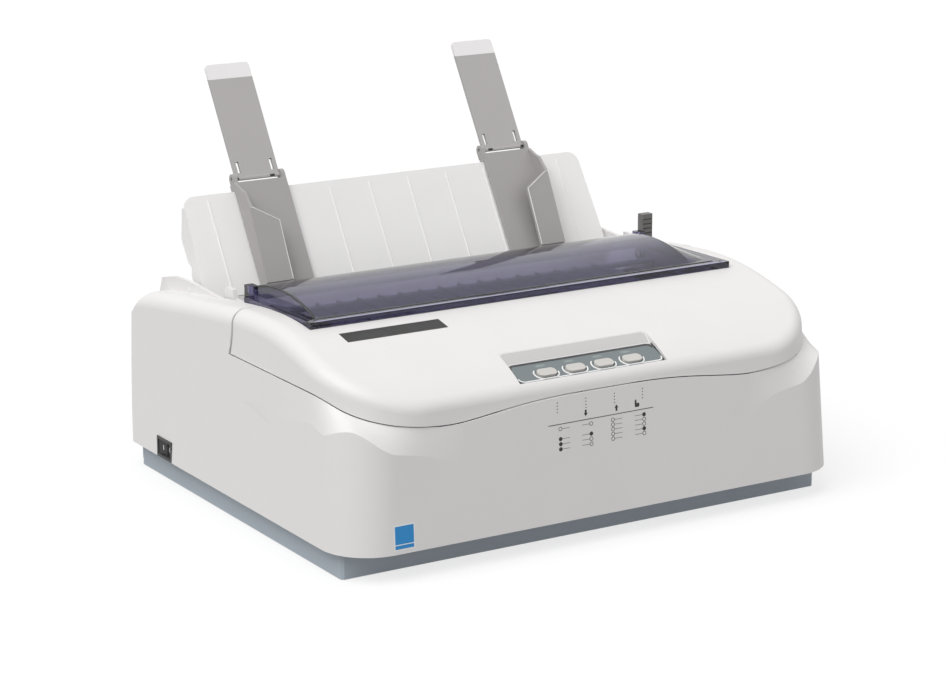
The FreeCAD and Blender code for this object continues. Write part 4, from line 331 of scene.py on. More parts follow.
def group_node(tree, name, inputs):
    """A node that uses the shared group of this name, which is made once."""
    group = bpy.data.node_groups.get(name) or GROUP_MAKERS[name]()
    return plug(tree, add(tree, "ShaderNodeGroup", node_tree=group), inputs)


def bare_tree(owner):
    """The node tree of a material or world, with nothing in it."""
    owner.use_nodes = True
    owner.node_tree.nodes.clear()
    return owner.node_tree


def new_material(name):
    """A material with its shader and output in place, its tree and its shader."""
    material = bpy.data.materials.new(name)
    tree = bare_tree(material)
    shader = tree.nodes.new("ShaderNodeBsdfPrincipled")
    add(tree, "ShaderNodeOutputMaterial", {0: shader.outputs[0]})
    return material, tree, shader


def relief(tree, shader, height, depth, strength=0.5):
    """Bump from a height value, with its depth in metres."""
    bump = add(tree, "ShaderNodeBump", {"Height": height, "Distance": depth, "Strength": strength})
    plug(tree, shader, {"Normal": bump.outputs[0]})


def worn_and_highlit_colour(tree, before, colour, wear):
    """A surface colour that is rubbed a third of the way to white at the edges, as wear and as a painted
    edge highlight.
    """
    rubbed = tuple(value + (1 - value) * 0.35 for value in colour)
    inputs = {"Colour": before, "Rubbed": opaque(rubbed), "Amount": wear}
    return group_node(tree, "Edge Wear and Highlight", inputs).outputs["Colour"]


def moulded(name, colour, roughness, grain, mottle, depth, dust, wear):
    """Moulded plastic: so many grains to the metre, depth in mm, the rest as shares of 1."""
    material, tree, shader = new_material(name)
    grained = group_node(tree, "Moulded Grain", {
        "Colour": opaque(colour), "Mottle": mottle, "Grains per Metre": grain, "Roughness": roughness,
    })
    dusty = group_node(tree, "Settled Dust", {
        "Colour": worn_and_highlit_colour(tree, grained.outputs["Colour"], colour, wear),
        "Roughness": grained.outputs["Roughness"], "Amount": dust,
    })
    plug(tree, shader, {
        "Base Color": dusty.outputs["Colour"], "Roughness": dusty.outputs["Roughness"],
    })
    relief(tree, shader, grained.outputs["Height"], depth * MM)
    return material


def brushed(name, colour, roughness, lines, stain, wear=0.3):
    """Bare or plated metal with drawn lines, so many to the metre along each axis."""
    material, tree, shader = new_material(name)
    drawn = group_node(tree, "Brushed Metal", {
        "Colour": opaque(colour), "Lines": lines, "Roughness": roughness, "Stain": stain,
    })
    plug(tree, shader, {
        "Base Color": worn_and_highlit_colour(tree, drawn.outputs["Colour"], colour, wear),
        "Roughness": drawn.outputs["Roughness"], "Metallic": 1.0,
    })
    relief(tree, shader, drawn.outputs["Height"], 0.01 * MM, 0.3)
    return material


# Finishes


def colours():
    return bpy.context.scene.printer_colours


def case_finish():
    return moulded("Warm White Plastic", colours().case, 0.42, 1500, 0.008, 0.03, 0.03, 0.1)


def table_finish():
    return moulded("Table Plastic", colours().table, 0.5, 1500, 0.008, 0.03, 0.04, 0.1)


def tray_finish():
    return moulded("Tray Plastic", colours().tray, 0.5, 1200, 0.015, 0.04, 0.06, 0.15)


def guide_finish():
    return moulded("Guide Plastic", colours().guide, 0.45, 1500, 0.01, 0.03, 0.04, 0.15)


def arm_finish():
    """Grey extension arms with pale tips."""
    material = moulded("Arm Plastic", colours().arm, 0.45, 1500, 0.01, 0.03, 0.0, 0.15)
    tree = material.node_tree
    shader = tree.nodes["Principled BSDF"]
    before = shader.inputs["Base Color"].links[0].from_socket
    height = add(tree, "ShaderNodeSeparateXYZ", {0: object_place(tree)}).outputs["Z"]
    tip_length, border = 10.5 * MM, 0.4 * MM
    tip_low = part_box("arm_left")[1].z - tip_length
    near_tip = add(tree, "ShaderNodeMapRange", {
        "Value": height, "From Min": tip_low, "From Max": tip_low + border,
    }).outputs[0]
    plug(tree, shader, {"Base Color": blend(tree, near_tip, before, opaque(colours().guide_tip))})
    return material


def lever_finish():
    return moulded("Lever Plastic", colours().lever, 0.5, 1200, 0.03, 0.05, 0.05, 0.3)


def pale_finish():
    return moulded("Pale Plastic", colours().pale, 0.42, 1500, 0.015, 0.03, 0.08, 0.15)


# Also used for painted shade: the dome's foot line, the band along the film's top edge and the screw
# crosses.
def black_finish():
    return moulded("Black Plastic", colours().black, 0.4, 1400, 0.05, 0.03, 0.12, 0.25)


def plate_finish():
    return moulded("Plate Gloss", colours().plate, 0.42, 900, 0.04, 0.004, 0.03, 0.35)


def film_finish():
    return moulded("Panel Film", colours().film, 0.32, 5200, 0.012, 0.012, 0.04, 0.1)


def button_finish():
    return moulded("Button Plastic", colours().button, 0.4, 1800, 0.015, 0.02, 0.03, 0.3)


def light_finish():
    """Indicator windows: clear moulding over an unlit lamp."""
    material = moulded("Indicator Window", colours().light, 0.18, 900, 0.04, 0.004, 0.0, 0.2)
    material.node_tree.nodes["Principled BSDF"].inputs["Coat Weight"].default_value = 0.5
    return material


# Also used for painted shade: the line in the gap between hood and case and the strip round the cover.
def rubber_finish():
    return moulded("Rubber", colours().rubber, 0.72, 2600, 0.08, 0.05, 0.22, 0.2)


def gear_finish():
    return moulded("Natural Nylon", colours().gear, 0.38, 1200, 0.02, 0.02, 0.05, 0.15)


def zinc_finish():
    return brushed("Zinc Steel", colours().zinc, 0.36, (60, 60, 900), 0.14)


def rod_finish():
    return brushed("Ground Steel", colours().ground, 0.16, (4000, 120, 120), 0.05)


def brass_finish():
    return brushed("Brass", colours().brass, 0.3, (60, 60, 900), 0.1)


def aluminium_finish():
    return brushed("Anodised Aluminium", colours().anodised, 0.42, (500, 60, 60), 0.1, 0.5)


def ribbon_finish():
    """Inked cloth ribbon with a fine weave."""
    material, tree, shader = new_material("Inked Ribbon")
    weave = add(tree, "ShaderNodeTexChecker", {
        "Vector": object_place(tree), "Scale": 3500.0,
        "Color1": opaque(tint(18, 18, 22)), "Color2": opaque(tint(36, 36, 42)),
    })
    plug(tree, shader, {"Base Color": weave.outputs["Color"], "Roughness": 0.8})
    relief(tree, shader, weave.outputs["Fac"], 0.03 * MM)
    return material


def board_finish():
    """Lacquered circuit board with tracks under the green."""
    material, tree, shader = new_material("Circuit Board")
    green = opaque(colours().board)
    blocks = add(tree, "ShaderNodeTexBrick", {
        "Vector": object_place(tree), "Scale": 90.0, "Mortar Size": 0.06, "Bias": 0.2,
        "Color1": green, "Color2": green, "Mortar": opaque(colours().copper),
    }, offset=0.35, squash=0.7)
    grained = group_node(tree, "Moulded Grain", {
        "Colour": blocks.outputs["Color"], "Mottle": 0.08, "Roughness": 0.3,
    })
    plug(tree, shader, {
        "Base Color": grained.outputs["Colour"], "Roughness": grained.outputs["Roughness"],
        "Coat Weight": 0.4,
    })
    relief(tree, shader, blocks.outputs["Fac"], 0.04 * MM)
    return material


def smoke_finish():
    """Clear violet acrylic of the cover."""
    material, tree, shader = new_material("Smoked Acrylic")
    grained = group_node(tree, "Moulded Grain", {
        "Colour": opaque(colours().smoke), "Mottle": 0.02, "Mottles per Metre": 14.0,
        "Grains per Metre": 500.0, "Roughness": 0.03, "Roughness Spread": 0.03,
    })
    plug(tree, shader, {
        "Base Color": grained.outputs["Colour"], "Roughness": grained.outputs["Roughness"],
        "Transmission Weight": 1.0, "IOR": 1.49,
    })
    return material


def ink_finish():
    return moulded("Legend Ink", colours().ink, 0.55, 3000, 0.05, 0.006, 0.0, 0.0)


# Also used for the painted highlight along the panel film's rim.
def chalk_finish():
    return moulded("White Print", colours().chalk, 0.5, 2600, 0.01, 0.006, 0.02, 0.0)


# Pale tone painted for the light that shows through the cover's clear front edge.
def lip_light_finish():
    return moulded("Cover Lip Light", colours().lip, 0.3, 2200, 0.02, 0.006, 0.02, 0.1)


# Greyer paint that stands in for the shade on the recess slope.
def recess_shade_finish():
    return moulded("Recess Painted Shade", colours().slope, 0.5, 1500, 0.008, 0.03, 0.0, 0.0)


# Pale line that paints the highlight along the guide lips.
def edge_highlight_finish():
    return moulded("Painted Edge Highlight", colours().guide_tip, 0.45, 2200, 0.01, 0.01, 0.0, 0.1)


def sticker_finish():
    return moulded("Sticker Blue", colours().sticker, 0.3, 3000, 0.02, 0.006, 0.02, 0.2)


FINISH_OF_SLOT = {
    "case_plastic": case_finish,
    "base_plastic": tray_finish,
    "rubber": rubber_finish,
    "grey_plastic": guide_finish,
    "light_grey_plastic": pale_finish,
    "black_plastic": black_finish,
    "smoked_plastic": smoke_finish,
    "film": film_finish,
    "button_plastic": button_finish,
    "light_plastic": light_finish,
    "steel": zinc_finish,
    "rod_steel": rod_finish,
    "aluminium": aluminium_finish,
    "gear_plastic": gear_finish,
    "board": board_finish,
    "ribbon": ribbon_finish,
}
FINISH_OF_NODE = {
    "paper_table": table_finish,
    "arm_left": arm_finish,
    "arm_right": arm_finish,
    "paper_lever": lever_finish,
    "label_plate": plate_finish,
}
made_finishes = {}


def finish(maker):
    """The material that a maker gives, made once."""
    if maker not in made_finishes:
        made_finishes[maker] = maker()
    return made_finishes[maker]


# Geometry helpers


def new_object(name, data):
    thing = bpy.data.objects.new(name, data)
    bpy.context.scene.collection.objects.link(thing)
    return thing


def mesh_data(name, mesh):
    """The data of a bmesh, which is freed."""
    data = bpy.data.meshes.new(name)
    mesh.to_mesh(data)
    mesh.free()
    return data


def place_piece(name, data, maker, body):
    """An object of some mesh or curve that rides on a body."""
    piece = new_object(name, data)
    data.materials.append(finish(maker))
    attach(piece, body)
    return piece


def piece_from(name, mesh, maker, body):
    """A piece from a bmesh."""
    return place_piece(name, mesh_data(name, mesh), maker, body)


def tube(name, points, radius, maker, body):
    """A round bead that follows points, as a curve."""
    data = bpy.data.curves.new(name, "CURVE")
    data.dimensions = "3D"
    data.bevel_depth = radius
    data.bevel_resolution = 3
    data.use_fill_caps = True
    spline = data.splines.new("POLY")
    spline.points.add(len(points) - 1)
    for point, place in zip(spline.points, points):
        point.co = (*place, 1)
    return place_piece(name, data, maker, body)


class Surface:
    """The outer skin of a node, on which artwork is laid."""

    def __init__(self, name):
        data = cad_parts[name].data
        points = [vertex.co.copy() for vertex in data.vertices]
        self.tree = BVHTree.FromPolygons(points, [list(face.vertices) for face in data.polygons])

    def under(self, start, direction):
        """The first point met from a start along a direction."""
        place = self.tree.ray_cast(start, direction)[0]
        if place is None:
            raise RuntimeError(f"no surface lies along {direction} from {start}")
        return place


class Artwork:
    """Flat shapes drawn on a plane in millimetres and laid on a surface behind it."""

    search = 15 * MM
    clearance = 0.01 * MM

    def __init__(self, node, origin, across, up):
        self.surface = Surface(node)
        self.origin = Vector(origin)
        self.across = Vector(across).normalized()
        self.up = Vector(up).normalized()
        self.outward = self.across.cross(self.up)
        self.mesh = bmesh.new()

    def lay(self, u, v):
        """The place on the surface behind a point of the drawing."""
        drawn = self.origin + self.across * (u * MM) + self.up * (v * MM)
        met = self.surface.under(drawn + self.outward * self.search, -self.outward)
        return met + self.outward * self.clearance

    def polygon(self, points):
        self.mesh.faces.new([self.mesh.verts.new(self.lay(u, v)) for u, v in points])

    def band(self, inner, outer, closed=True):
        """A strip between two rows of points, met in the same order."""
        rows = [[self.mesh.verts.new(self.lay(u, v)) for u, v in row] for row in (outer, inner)]
        count = len(inner)
        for index in range(count if closed else count - 1):
            following = (index + 1) % count
            self.mesh.faces.new([
                rows[0][index], rows[0][following], rows[1][following], rows[1][index]
            ])

    def disc(self, u, v, radius):
        self.polygon(circle_points(u, v, radius, 20))

    def ring(self, u, v, radius, width):
        self.band(circle_points(u, v, radius - width, 24), circle_points(u, v, radius, 24))

    def line(self, start, end, width, steps=1):
        """A straight line of some width, in steps so that it follows a bent surface."""
        first, last = Vector(start), Vector(end)
        along = (last - first).normalized()
        side = Vector((-along.y, along.x)) * (width / 2)
        points = [first.lerp(last, step / steps) for step in range(steps + 1)]
        self.band([p + side for p in points], [p - side for p in points], closed=False)

    def piece(self, name, maker, body, slot, thickness):
        piece = piece_from(name, self.mesh, maker, body)
        thick = piece.modifiers.new("Print thickness", "SOLIDIFY")
        thick.thickness = thickness
        thick.offset = 1.0


def circle_points(u, v, radius, sides):
    turns = (math.tau * side / sides for side in range(sides))
    return [(u + radius * math.cos(turn), v + radius * math.sin(turn)) for turn in turns]


def capsule_points(u, v, length, width, steps):
    """A long hole outline with round ends, drawn the anticlockwise way."""
    radius = width / 2
    half = length / 2 - radius
    points = []
    for first_turn, centre in ((-math.pi / 2, u + half), (math.pi / 2, u - half)):
        for step in range(steps + 1):
            turn = first_turn + math.pi * step / steps
            points.append((centre + radius * math.cos(turn), v + radius * math.sin(turn)))
    return points


def on_front(rightward=0, upward=0):
    """A drawing on the front of the case, moved by some millimetres."""
    origin = Vector((rightward, -190, upward)) * MM
    return Artwork("main_case", origin, RIGHT, UP)


# Operators


class PRINTER_OT_stage(bpy.types.Operator):
    """Camera, soft lamps and a plain pale floor"""

    bl_idname = "printer.stage"
    bl_label = "Stage"

    def execute(self, context):
        studio = context.scene.printer_studio
        self.camera(context, studio)
        self.lamps(studio)
        self.floor(studio)
        self.sky(context, studio)
        context.scene.view_settings.view_transform = "Standard"
        return {"FINISHED"}

    def camera(self, context, studio):
        data = bpy.data.cameras.new("Camera")
        data.sensor_fit = "HORIZONTAL"
        data.sensor_width = 36
        data.lens = studio.camera_lens
        data.clip_start = 0.05
        data.clip_end = 60
        camera = new_object("Camera", data)
        camera.location = studio.camera_place
        camera.rotation_euler = (studio.camera_tilt, 0, studio.camera_turn)
        context.scene.camera = camera

    def lamps(self, studio):
        lamps = (
            ("Key lamp", (-0.54, -0.15, 0.83), studio.key, math.radians(50)),
            ("Fill lamp", (0.45, -0.80, 0.40), studio.fill, math.radians(60)),
        )
        for name, towards, strength, softness in lamps:
            data = bpy.data.lights.new(name, "SUN")
            data.energy = strength
            data.angle = softness
            lamp = new_object(name, data)
            lamp.rotation_mode = "QUATERNION"
            lamp.rotation_quaternion = Vector(towards).to_track_quat("Z", "Y")

    def floor(self, studio):
        """A floor that the camera sees as white under the shadow and that lights the object."""
        mesh = bmesh.new()
        bmesh.ops.create_grid(mesh, x_segments=8, y_segments=8, size=12)
        floor = new_object("Floor", mesh_data("Floor", mesh))
        material = bpy.data.materials.new("Floor")
        tree = bare_tree(material)
        plain_share = 0.72
        lighting = add(tree, "ShaderNodeBsdfDiffuse", {"Color": opaque(studio.floor)}).outputs[0]
        shadowed = add(tree, "ShaderNodeBsdfDiffuse", {"Color": WHITE}).outputs[0]
        plain = add(tree, "ShaderNodeEmission", {"Color": WHITE, "Strength": 1.0}).outputs[0]
        seen = add(tree, "ShaderNodeMixShader", {0: plain_share, 1: shadowed, 2: plain}).outputs[0]
        both = add(tree, "ShaderNodeMixShader", {0: seen_directly(tree), 1: lighting, 2: seen})
        add(tree, "ShaderNodeOutputMaterial", {0: both.outputs[0]})
        floor.data.materials.append(material)

    def sky(self, context, studio):
        """Even light, shown as plain white."""
        world = bpy.data.worlds.new("Studio")
        tree = bare_tree(world)
        soft = add(tree, "ShaderNodeBackground", {"Color": WHITE, "Strength": studio.sky})
        plain = add(tree, "ShaderNodeBackground", {"Color": WHITE, "Strength": 1.0})
        both = add(tree, "ShaderNodeMixShader", {
            0: seen_directly(tree), 1: soft.outputs[0], 2: plain.outputs[0],
        })
        add(tree, "ShaderNodeOutputWorld", {0: both.outputs[0]})
        context.scene.world = world


def seen_directly(tree):
    """1 for what the camera, a reflection or a clear part shows, and 0 for light on the object."""
    path = add(tree, "ShaderNodeLightPath").outputs
    shown = reckon(tree, "MAXIMUM", path["Is Camera Ray"], path["Is Glossy Ray"])
    return reckon(tree, "MAXIMUM", shown, path["Is Transmission Ray"])


class PRINTER_OT_finishes(bpy.types.Operator):
    """Moulded, metal, rubber and board finishes on every node of the frame"""

    bl_idname = "printer.finishes"
    bl_label = "Finishes"

    def execute(self, context):
        for name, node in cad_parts.items():
            for slot in node.material_slots:
                maker = FINISH_OF_NODE.get(name) or FINISH_OF_SLOT[slot.material.name]
                slot.material = finish(maker)
        return {"FINISHED"}


class PRINTER_OT_front_legend(bpy.types.Operator):
    """Printed legend under the panel: leaders, rule, arrows, hand and ring rows"""

    bl_idname = "printer.front_legend"
    bl_label = "Front legend"

    def execute(self, context):
        art = context.scene.printer_artwork
        line = art.line / MM
        ring = art.ring / MM
        drawing = on_front(rightward=0.9, upward=-0.5)
        leader_top, leader_pitch, leader_dots = 105.1, 2.2, 4
        for u in (-41.7, -18.3, 5.4, 29.0):
            for step in range(leader_dots):
                drawing.disc(u, leader_top - leader_pitch * step, art.dot / MM)
        drawing.line((-49.4, 89.9), (37.9, 90.4), line * 1.2, steps=8)
        self.arrow(drawing, -18.6, 94.7, -1)
        self.arrow(drawing, 6.9, 94.7, 1)
        self.hand(drawing, 24.0, 94.6)
        left_rows = ((86.6, False, False), (79.5, True, True), (75.9, True, False), (72.3, True, False))
        right_top, right_pitch = 86.5, 3.35
        right_rows = [
            (right_top - right_pitch * row, False, row in (0, 3)) for row in range(art.legend_rows)
        ]
        for columns, rows in (((-39.6, -14.3), left_rows), ((3.8, 30.0), right_rows)):
            for v, *filled in rows:
                for u, full in zip(columns, filled):
                    if full:
                        drawing.disc(u, v, ring)
                    else:
                        drawing.ring(u, v, ring, line * 0.9)
                self.leads(drawing, columns, v, ring, line)
        drawing.piece("front_legend", ink_finish, "casing", "black_plastic", art.ink_depth)
        return {"FINISHED"}

    def leads(self, drawing, columns, v, ring, line):
        """The thin lines that run inward from two rings, with the middle left bare."""
        first, last = columns
        lead = (last - first) * 0.24
        drawing.line((first + ring, v), (first + ring + lead, v), line * 0.6)
        drawing.line((last - ring - lead, v), (last - ring, v), line * 0.6)

    def arrow(self, drawing, u, v, way):
        half, wing, shaft = 2.3, 1.6, 0.75
        outline = [
            (-shaft, -half), (shaft, -half), (shaft, 0), (wing, 0), (0, half), (-wing, 0), (-shaft, 0),
        ]
        points = [(u + x, v + y * way) for x, y in outline]
        drawing.polygon(points if way > 0 else points[::-1])

    def hand(self, drawing, u, v):
        """A pointing finger over a closed hand."""
        outline = [
            (-1.5, -2.0), (1.9, -2.0), (2.2, -0.4), (2.0, 0.8), (1.0, 0.9), (0.1, 0.7), (-0.2, 1.0),
            (-0.4, 3.2), (-1.0, 3.5), (-1.6, 3.1), (-1.7, 0.0),
        ]
        drawing.polygon([(u + x, v + y) for x, y in outline])


class PRINTER_OT_front_sticker(bpy.types.Operator):
    """Plain blue sticker with a white border at the lower left of the front"""

    bl_idname = "printer.front_sticker"
    bl_label = "Front sticker"

    def execute(self, context):
        art = context.scene.printer_artwork
        left, right, low, high = -172.4, -156.0, 22.6, 40.4
        border, line, steps = 1.0, 2 / 3, 10
        split = low + (high - low) * 0.22
        whole = [(low, high)]
        fields = [(low + border, split - line / 2), (split + line / 2, high - border)]
        for name, maker, inset, rows, depth in (
            ("sticker_border", chalk_finish, 0.0, whole, art.ink_depth),
            ("sticker_field", sticker_finish, border, fields, art.ink_depth * 2),
        ):
            drawing = on_front()
            width = right - left - inset * 2
            columns = [left + inset + width * step / steps for step in range(steps + 1)]
            for bottom, top in rows:
                upper, lower = [(u, top) for u in columns], [(u, bottom) for u in columns]
                drawing.band(upper, lower, closed=False)
            drawing.piece(name, maker, "casing", "case_plastic", depth)
        return {"FINISHED"}


class PRINTER_OT_panel_artwork(bpy.types.Operator):
    """Half round collars at the buttons, a painted highlight along the film's lower rim, painted shade
    along its top edge and painted shade on the slope behind the film
    """

    bl_idname = "printer.panel_artwork"
    bl_label = "Panel artwork"

    half_width = 60
    depth = 20.6
    corner_radius = 5
    corner_steps = 6

    def execute(self, context):
        art = context.scene.printer_artwork
        slope = math.radians(22.9)
        film_middle, film_thickness = -6.4 * MM, 1.0 * MM
        up = Vector((0, math.cos(slope), math.sin(slope)))
        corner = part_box("panel_film")[0]
        origin = Vector((film_middle, corner.y, corner.z + math.cos(slope) * film_thickness))
        border, highlight_reach, shade_reach = 0.4, 1.4, 2.0
        rim = Artwork("panel_film", origin, RIGHT, up)
        self.collars(rim, art)
        # Painted highlight: a white band inside the film's lower edge and corners, where the recess rim
        # catches light.
        lower_corners = ((-1, -1, 180), (1, -1, 270))
        rim.band(self.edge(highlight_reach, lower_corners), self.edge(border, lower_corners), closed=False)
        rim.piece("panel_rim_highlight", chalk_finish, "casing", "film", art.ink_depth * 3)
        # Painted shade: a black band inside the film's top edge, where the gap behind the film lies in
        # shade.
        shade = Artwork("panel_film", origin, RIGHT, up)
        upper_corners = ((1, 1, 0), (-1, 1, 90))
        shade.band(self.edge(shade_reach, upper_corners), self.edge(border, upper_corners), closed=False)
        shade.piece("panel_shade", black_finish, "casing", "film", art.ink_depth * 4)
        self.recess(origin, up, art)
        return {"FINISHED"}

    def collars(self, drawing, art):
        """White beads that run round the lower side of each button, higher on its left."""
        pitch, length, width, middle = 23.6, 15, 7.4, 6.6
        gap, left_end, right_end, seam = 1.5, 4.6, 0.8, 0.4
        reach = gap + art.collar / MM / 2
        for number, place in enumerate((-1.5, -0.5, 0.5, 1.5), start=1):
            u = place * pitch
            outline = capsule_points(u, middle, length + reach * 2, width + reach * 2, 16)
            lower = [p for p in outline if p[1] < middle + (left_end if p[0] < u else right_end)]
            lower.sort(key=lambda p: math.atan2(p[0] - u, middle + seam - p[1]))
            points = [drawing.lay(*p) + drawing.outward * art.collar * 0.2 for p in lower]
            tube(f"button_collar_{number}", points, art.collar / 2, chalk_finish, "casing")

    def edge(self, inset, corners):
        """Points inside the film's edge, round corners given by side, end and first angle."""
        radius = self.corner_radius
        points = []
        for side, end, first in corners:
            for step in range(self.corner_steps + 1):
                turn = math.radians(first + 90 * step / self.corner_steps)
                points.append((
                    side * (self.half_width - radius) + (radius - inset) * math.cos(turn),
                    self.depth / 2 + end * (self.depth / 2 - radius) + (radius - inset) * math.sin(turn),
                ))
        return points

    def recess(self, origin, up, art):
        """Painted shade: a greyer band on the slope behind the film, standing in for the shade in the
        recess.
        """
        past_film, half, half_top = 0.9, 60.3, 57.3
        low, side, high, top = 0.8, 3.0, 8.0, 9.6
        foot = origin + up * ((self.depth + past_film) * MM)
        slope = Artwork("hood", foot, RIGHT, (0, 1, 1))
        slope.band(
            [(-half, low), (-half, side), (-half, high), (half, high), (half, side), (half, low)],
            [(-half, low), (-half, side), (-half_top, top), (half_top, top), (half, side), (half, low)],
            closed=False,
        )
        slope.polygon([(-half, low), (half, low), (half, high), (-half, high)])
        slope.piece("recess_painted_shade", recess_shade_finish, "hood_body", "case_plastic", art.ink_depth)


class PRINTER_OT_tray_skirt(bpy.types.Operator):
    """Plain skirt round the tray's front and sides, down to just above the floor"""

    bl_idname = "printer.tray_skirt"
    bl_label = "Tray skirt"

    def execute(self, context):
        art = context.scene.printer_artwork
        low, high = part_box("base_tray")
        back = high.y - art.skirt_wall
        bevel = art.skirt_reach / 3
        outline = []
        for inset, way in ((0, 1), (art.skirt_wall, -1)):
            side = high.x + art.skirt_proud - inset
            front = low.y - art.skirt_reach + inset
            outline += [
                (-side, back), (-side, front + bevel), (bevel - side, front),
                (side - bevel, front), (side, front + bevel), (side, back),
            ][::way]
        bottom, top = art.skirt_lift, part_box("main_case")[0].z - art.skirt_lift
        mesh = bmesh.new()
        lower, upper = [[mesh.verts.new((x, y, z)) for x, y in outline] for z in (bottom, top)]
        count = len(outline)
        for place in range(count):
            beside = (place + 1) % count
            mesh.faces.new((lower[place], lower[beside], upper[beside], upper[place]))
        for row in (lower, upper):
            for place in range(count // 2 - 1):
                across = count - 1 - place
                mesh.faces.new((row[place], row[place + 1], row[across - 1], row[across]))
        bmesh.ops.recalc_face_normals(mesh, faces=mesh.faces)
        piece_from("tray_skirt", mesh, tray_finish, "casing")
        return {"FINISHED"}


class PRINTER_OT_gap_shade_line(bpy.types.Operator):
    """Painted shade: a black line inside the gap along the hood's lower front edge, which darkens the gap
    """

    bl_idname = "printer.dust_seal"
    bl_label = "Gap shade line"

    def execute(self, context):
        art = context.scene.printer_artwork
        side_end, front_end, half_front, middle = -0.085, -0.165, 0.15, -0.05
        degrees_apart, highest_step = 3, 2 * MM
        lowest = {}
        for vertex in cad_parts["hood"].data.vertices:
            place = vertex.co
            if place.y > side_end or (abs(place.x) < half_front and place.y > front_end):
                continue
            turn = round(math.degrees(math.atan2(place.x, middle - place.y)) / degrees_apart)
            if turn not in lowest or place.z < lowest[turn].z:
                lowest[turn] = place.copy()
        points = []
        turns = sorted(lowest)
        for step, turn in enumerate(turns):
            place = lowest[turn]
            near = sorted(lowest[other].z for other in turns[max(0, step - 2):step + 3])
            if place.z > near[len(near) // 2] + highest_step:
                continue
            outward = Vector((place.x, place.y - middle, 0)).normalized()
            points.append(place - outward * art.gap_shade_depth - UP * art.gap_shade_thickness * 0.6)
        tube("gap_shade_line", points, art.gap_shade_thickness / 2, rubber_finish, "hood_body")
        return {"FINISHED"}


class PRINTER_OT_cover_trim(bpy.types.Operator):
    """Painted shade along the dome's foot and on a strip round the cover's seat, a pale lip painted for
    light through the clear front edge, and rim studs
    """

    bl_idname = "printer.cover_trim"
    bl_label = "Cover trim"

    def execute(self, context):
        art = context.scene.printer_artwork
        low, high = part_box("access_cover")
        surface = Surface("access_cover")

        def crest(x, y):
            """The top of the cover over a place."""
            return surface.under(Vector((x, y, high.z + 20 * MM)), -UP)

        front, back = low.y + 7.4 * MM, high.y - 6 * MM
        left, right = -168.5 * MM, 167 * MM
        foot_steps, arch_steps = 24, 20
        foot = [crest(left + (right - left) * step / foot_steps, front) for step in range(foot_steps + 1)]
        arch = []
        for step in range(arch_steps, -1, -1):
            y = front + (back - front) * step / arch_steps
            height = crest(left + 1.5 * MM, y + 0.5 * MM).z - 0.3 * MM
            arch.append(Vector((left, y, height)))
        # Painted shade: a black line along the dome's foot and up its left end, where the crease looks
        # dark.
        tube("dome_foot_shade", arch + foot, art.foot_shade_thickness / 2, black_finish, "cover_body")
        lip_radius, half_lip, lip_pitch = 0.45 * MM, 174, 12
        lip = [
            Vector((x * MM, low.y + lip_radius, crest(x * MM, low.y + 0.5 * MM).z))
            for x in range(-half_lip, half_lip + 1, lip_pitch)
        ]
        # Painted light: the pale violet lip stands in for light showing through the clear front edge.
        tube("cover_lip_light", lip, lip_radius, lip_light_finish, "cover_body")
        studs = Artwork("access_cover", (0, low.y, high.z), RIGHT, BACK)
        for side in (-1, 1):
            studs.disc(side * 171.5, 3.6, 1.1)
        studs.piece("rim_studs", black_finish, "cover_body", "black_plastic", art.ink_depth * 6)
        # Painted shade: a dark strip on the hood round the cover's edge, where the hood dips into shade.
        seat = Artwork("hood", (0, low.y, high.z), RIGHT, BACK)
        outer, inner, near, inner_near, far = 175.5, 171.7, 0.8, 3.4, 68
        seat.band(
            [(-inner, far), (-inner, inner_near), (inner, inner_near), (inner, far)],
            [(-outer, far), (-outer, near), (outer, near), (outer, far)], closed=False,
        )
        seat.piece("seat_shade_strip", rubber_finish, "hood_body", "rubber", art.ink_depth * 3)
        return {"FINISHED"}


class PRINTER_OT_guide_trim(bpy.types.Operator):
    """Painted highlights along the lips of the edge guides and pins at the feet of the arms"""

    bl_idname = "printer.guide_trim"
    bl_label = "Guide trim"

    def execute(self, context):
        art = context.scene.printer_artwork
        lean = math.radians(31.5)
        foot = Vector((0, 90.107, 150)) * MM
        rise = Vector((0, math.sin(lean), math.cos(lean)))
        behind = Vector((0, math.cos(lean), -math.sin(lean)))

        def spot(x, back, up):
            """A place in millimetres across the table, behind its face and up along it."""
            return foot + RIGHT * (x * MM) + behind * (back * MM) + rise * (up * MM)

        lip = ((109.4, -12.9, -8.6), (109.4, -16.6, 36.6), (128.6, -17.2, 48.6), (130.6, -17.2, 49.0))
        pin_half, pin_back, pin_up, pin_radius = 1.7, -0.5, 77.6, 0.9 * MM
        for side, name in ((-1, "left"), (1, "right")):
            body = f"guide_{name}_body"
            line = [spot(side * x, back, up) for x, back, up in lip]
            # Painted highlight: a pale line along each lip's edge where it catches light.
            tube(f"guide_{name}_lip_highlight", line, art.highlight_line / 2, edge_highlight_finish, body)
            for place, x in (("outer", 126.5), ("inner", 96.5)):
                pin = [spot(side * x + end, pin_back, pin_up) for end in (-pin_half, pin_half)]
                tube(f"arm_{name}_pin_{place}", pin, pin_radius, black_finish, body)
        return {"FINISHED"}


class PRINTER_OT_lever_grip(bpy.types.Operator):
    """Dark ridges across the front of the paper lever"""

    bl_idname = "printer.lever_grip"
    bl_label = "Lever grip"

    def execute(self, context):
        art = context.scene.printer_artwork
        low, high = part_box("paper_lever")
        ridges, below_top, from_edge, before_middle = 5, 4 * MM, 0.9 * MM, 3 * MM
        face = (low.y + high.y) / 2 - before_middle
        for number in range(ridges):
            z = high.z - below_top - number * art.grip * 4
            ends = [Vector((x, face, z)) for x in (low.x + from_edge, high.x - from_edge)]
            name = f"lever_ridge_{number + 1}"
            tube(name, ends, art.grip / 2, black_finish, "lever_body")
        return {"FINISHED"}


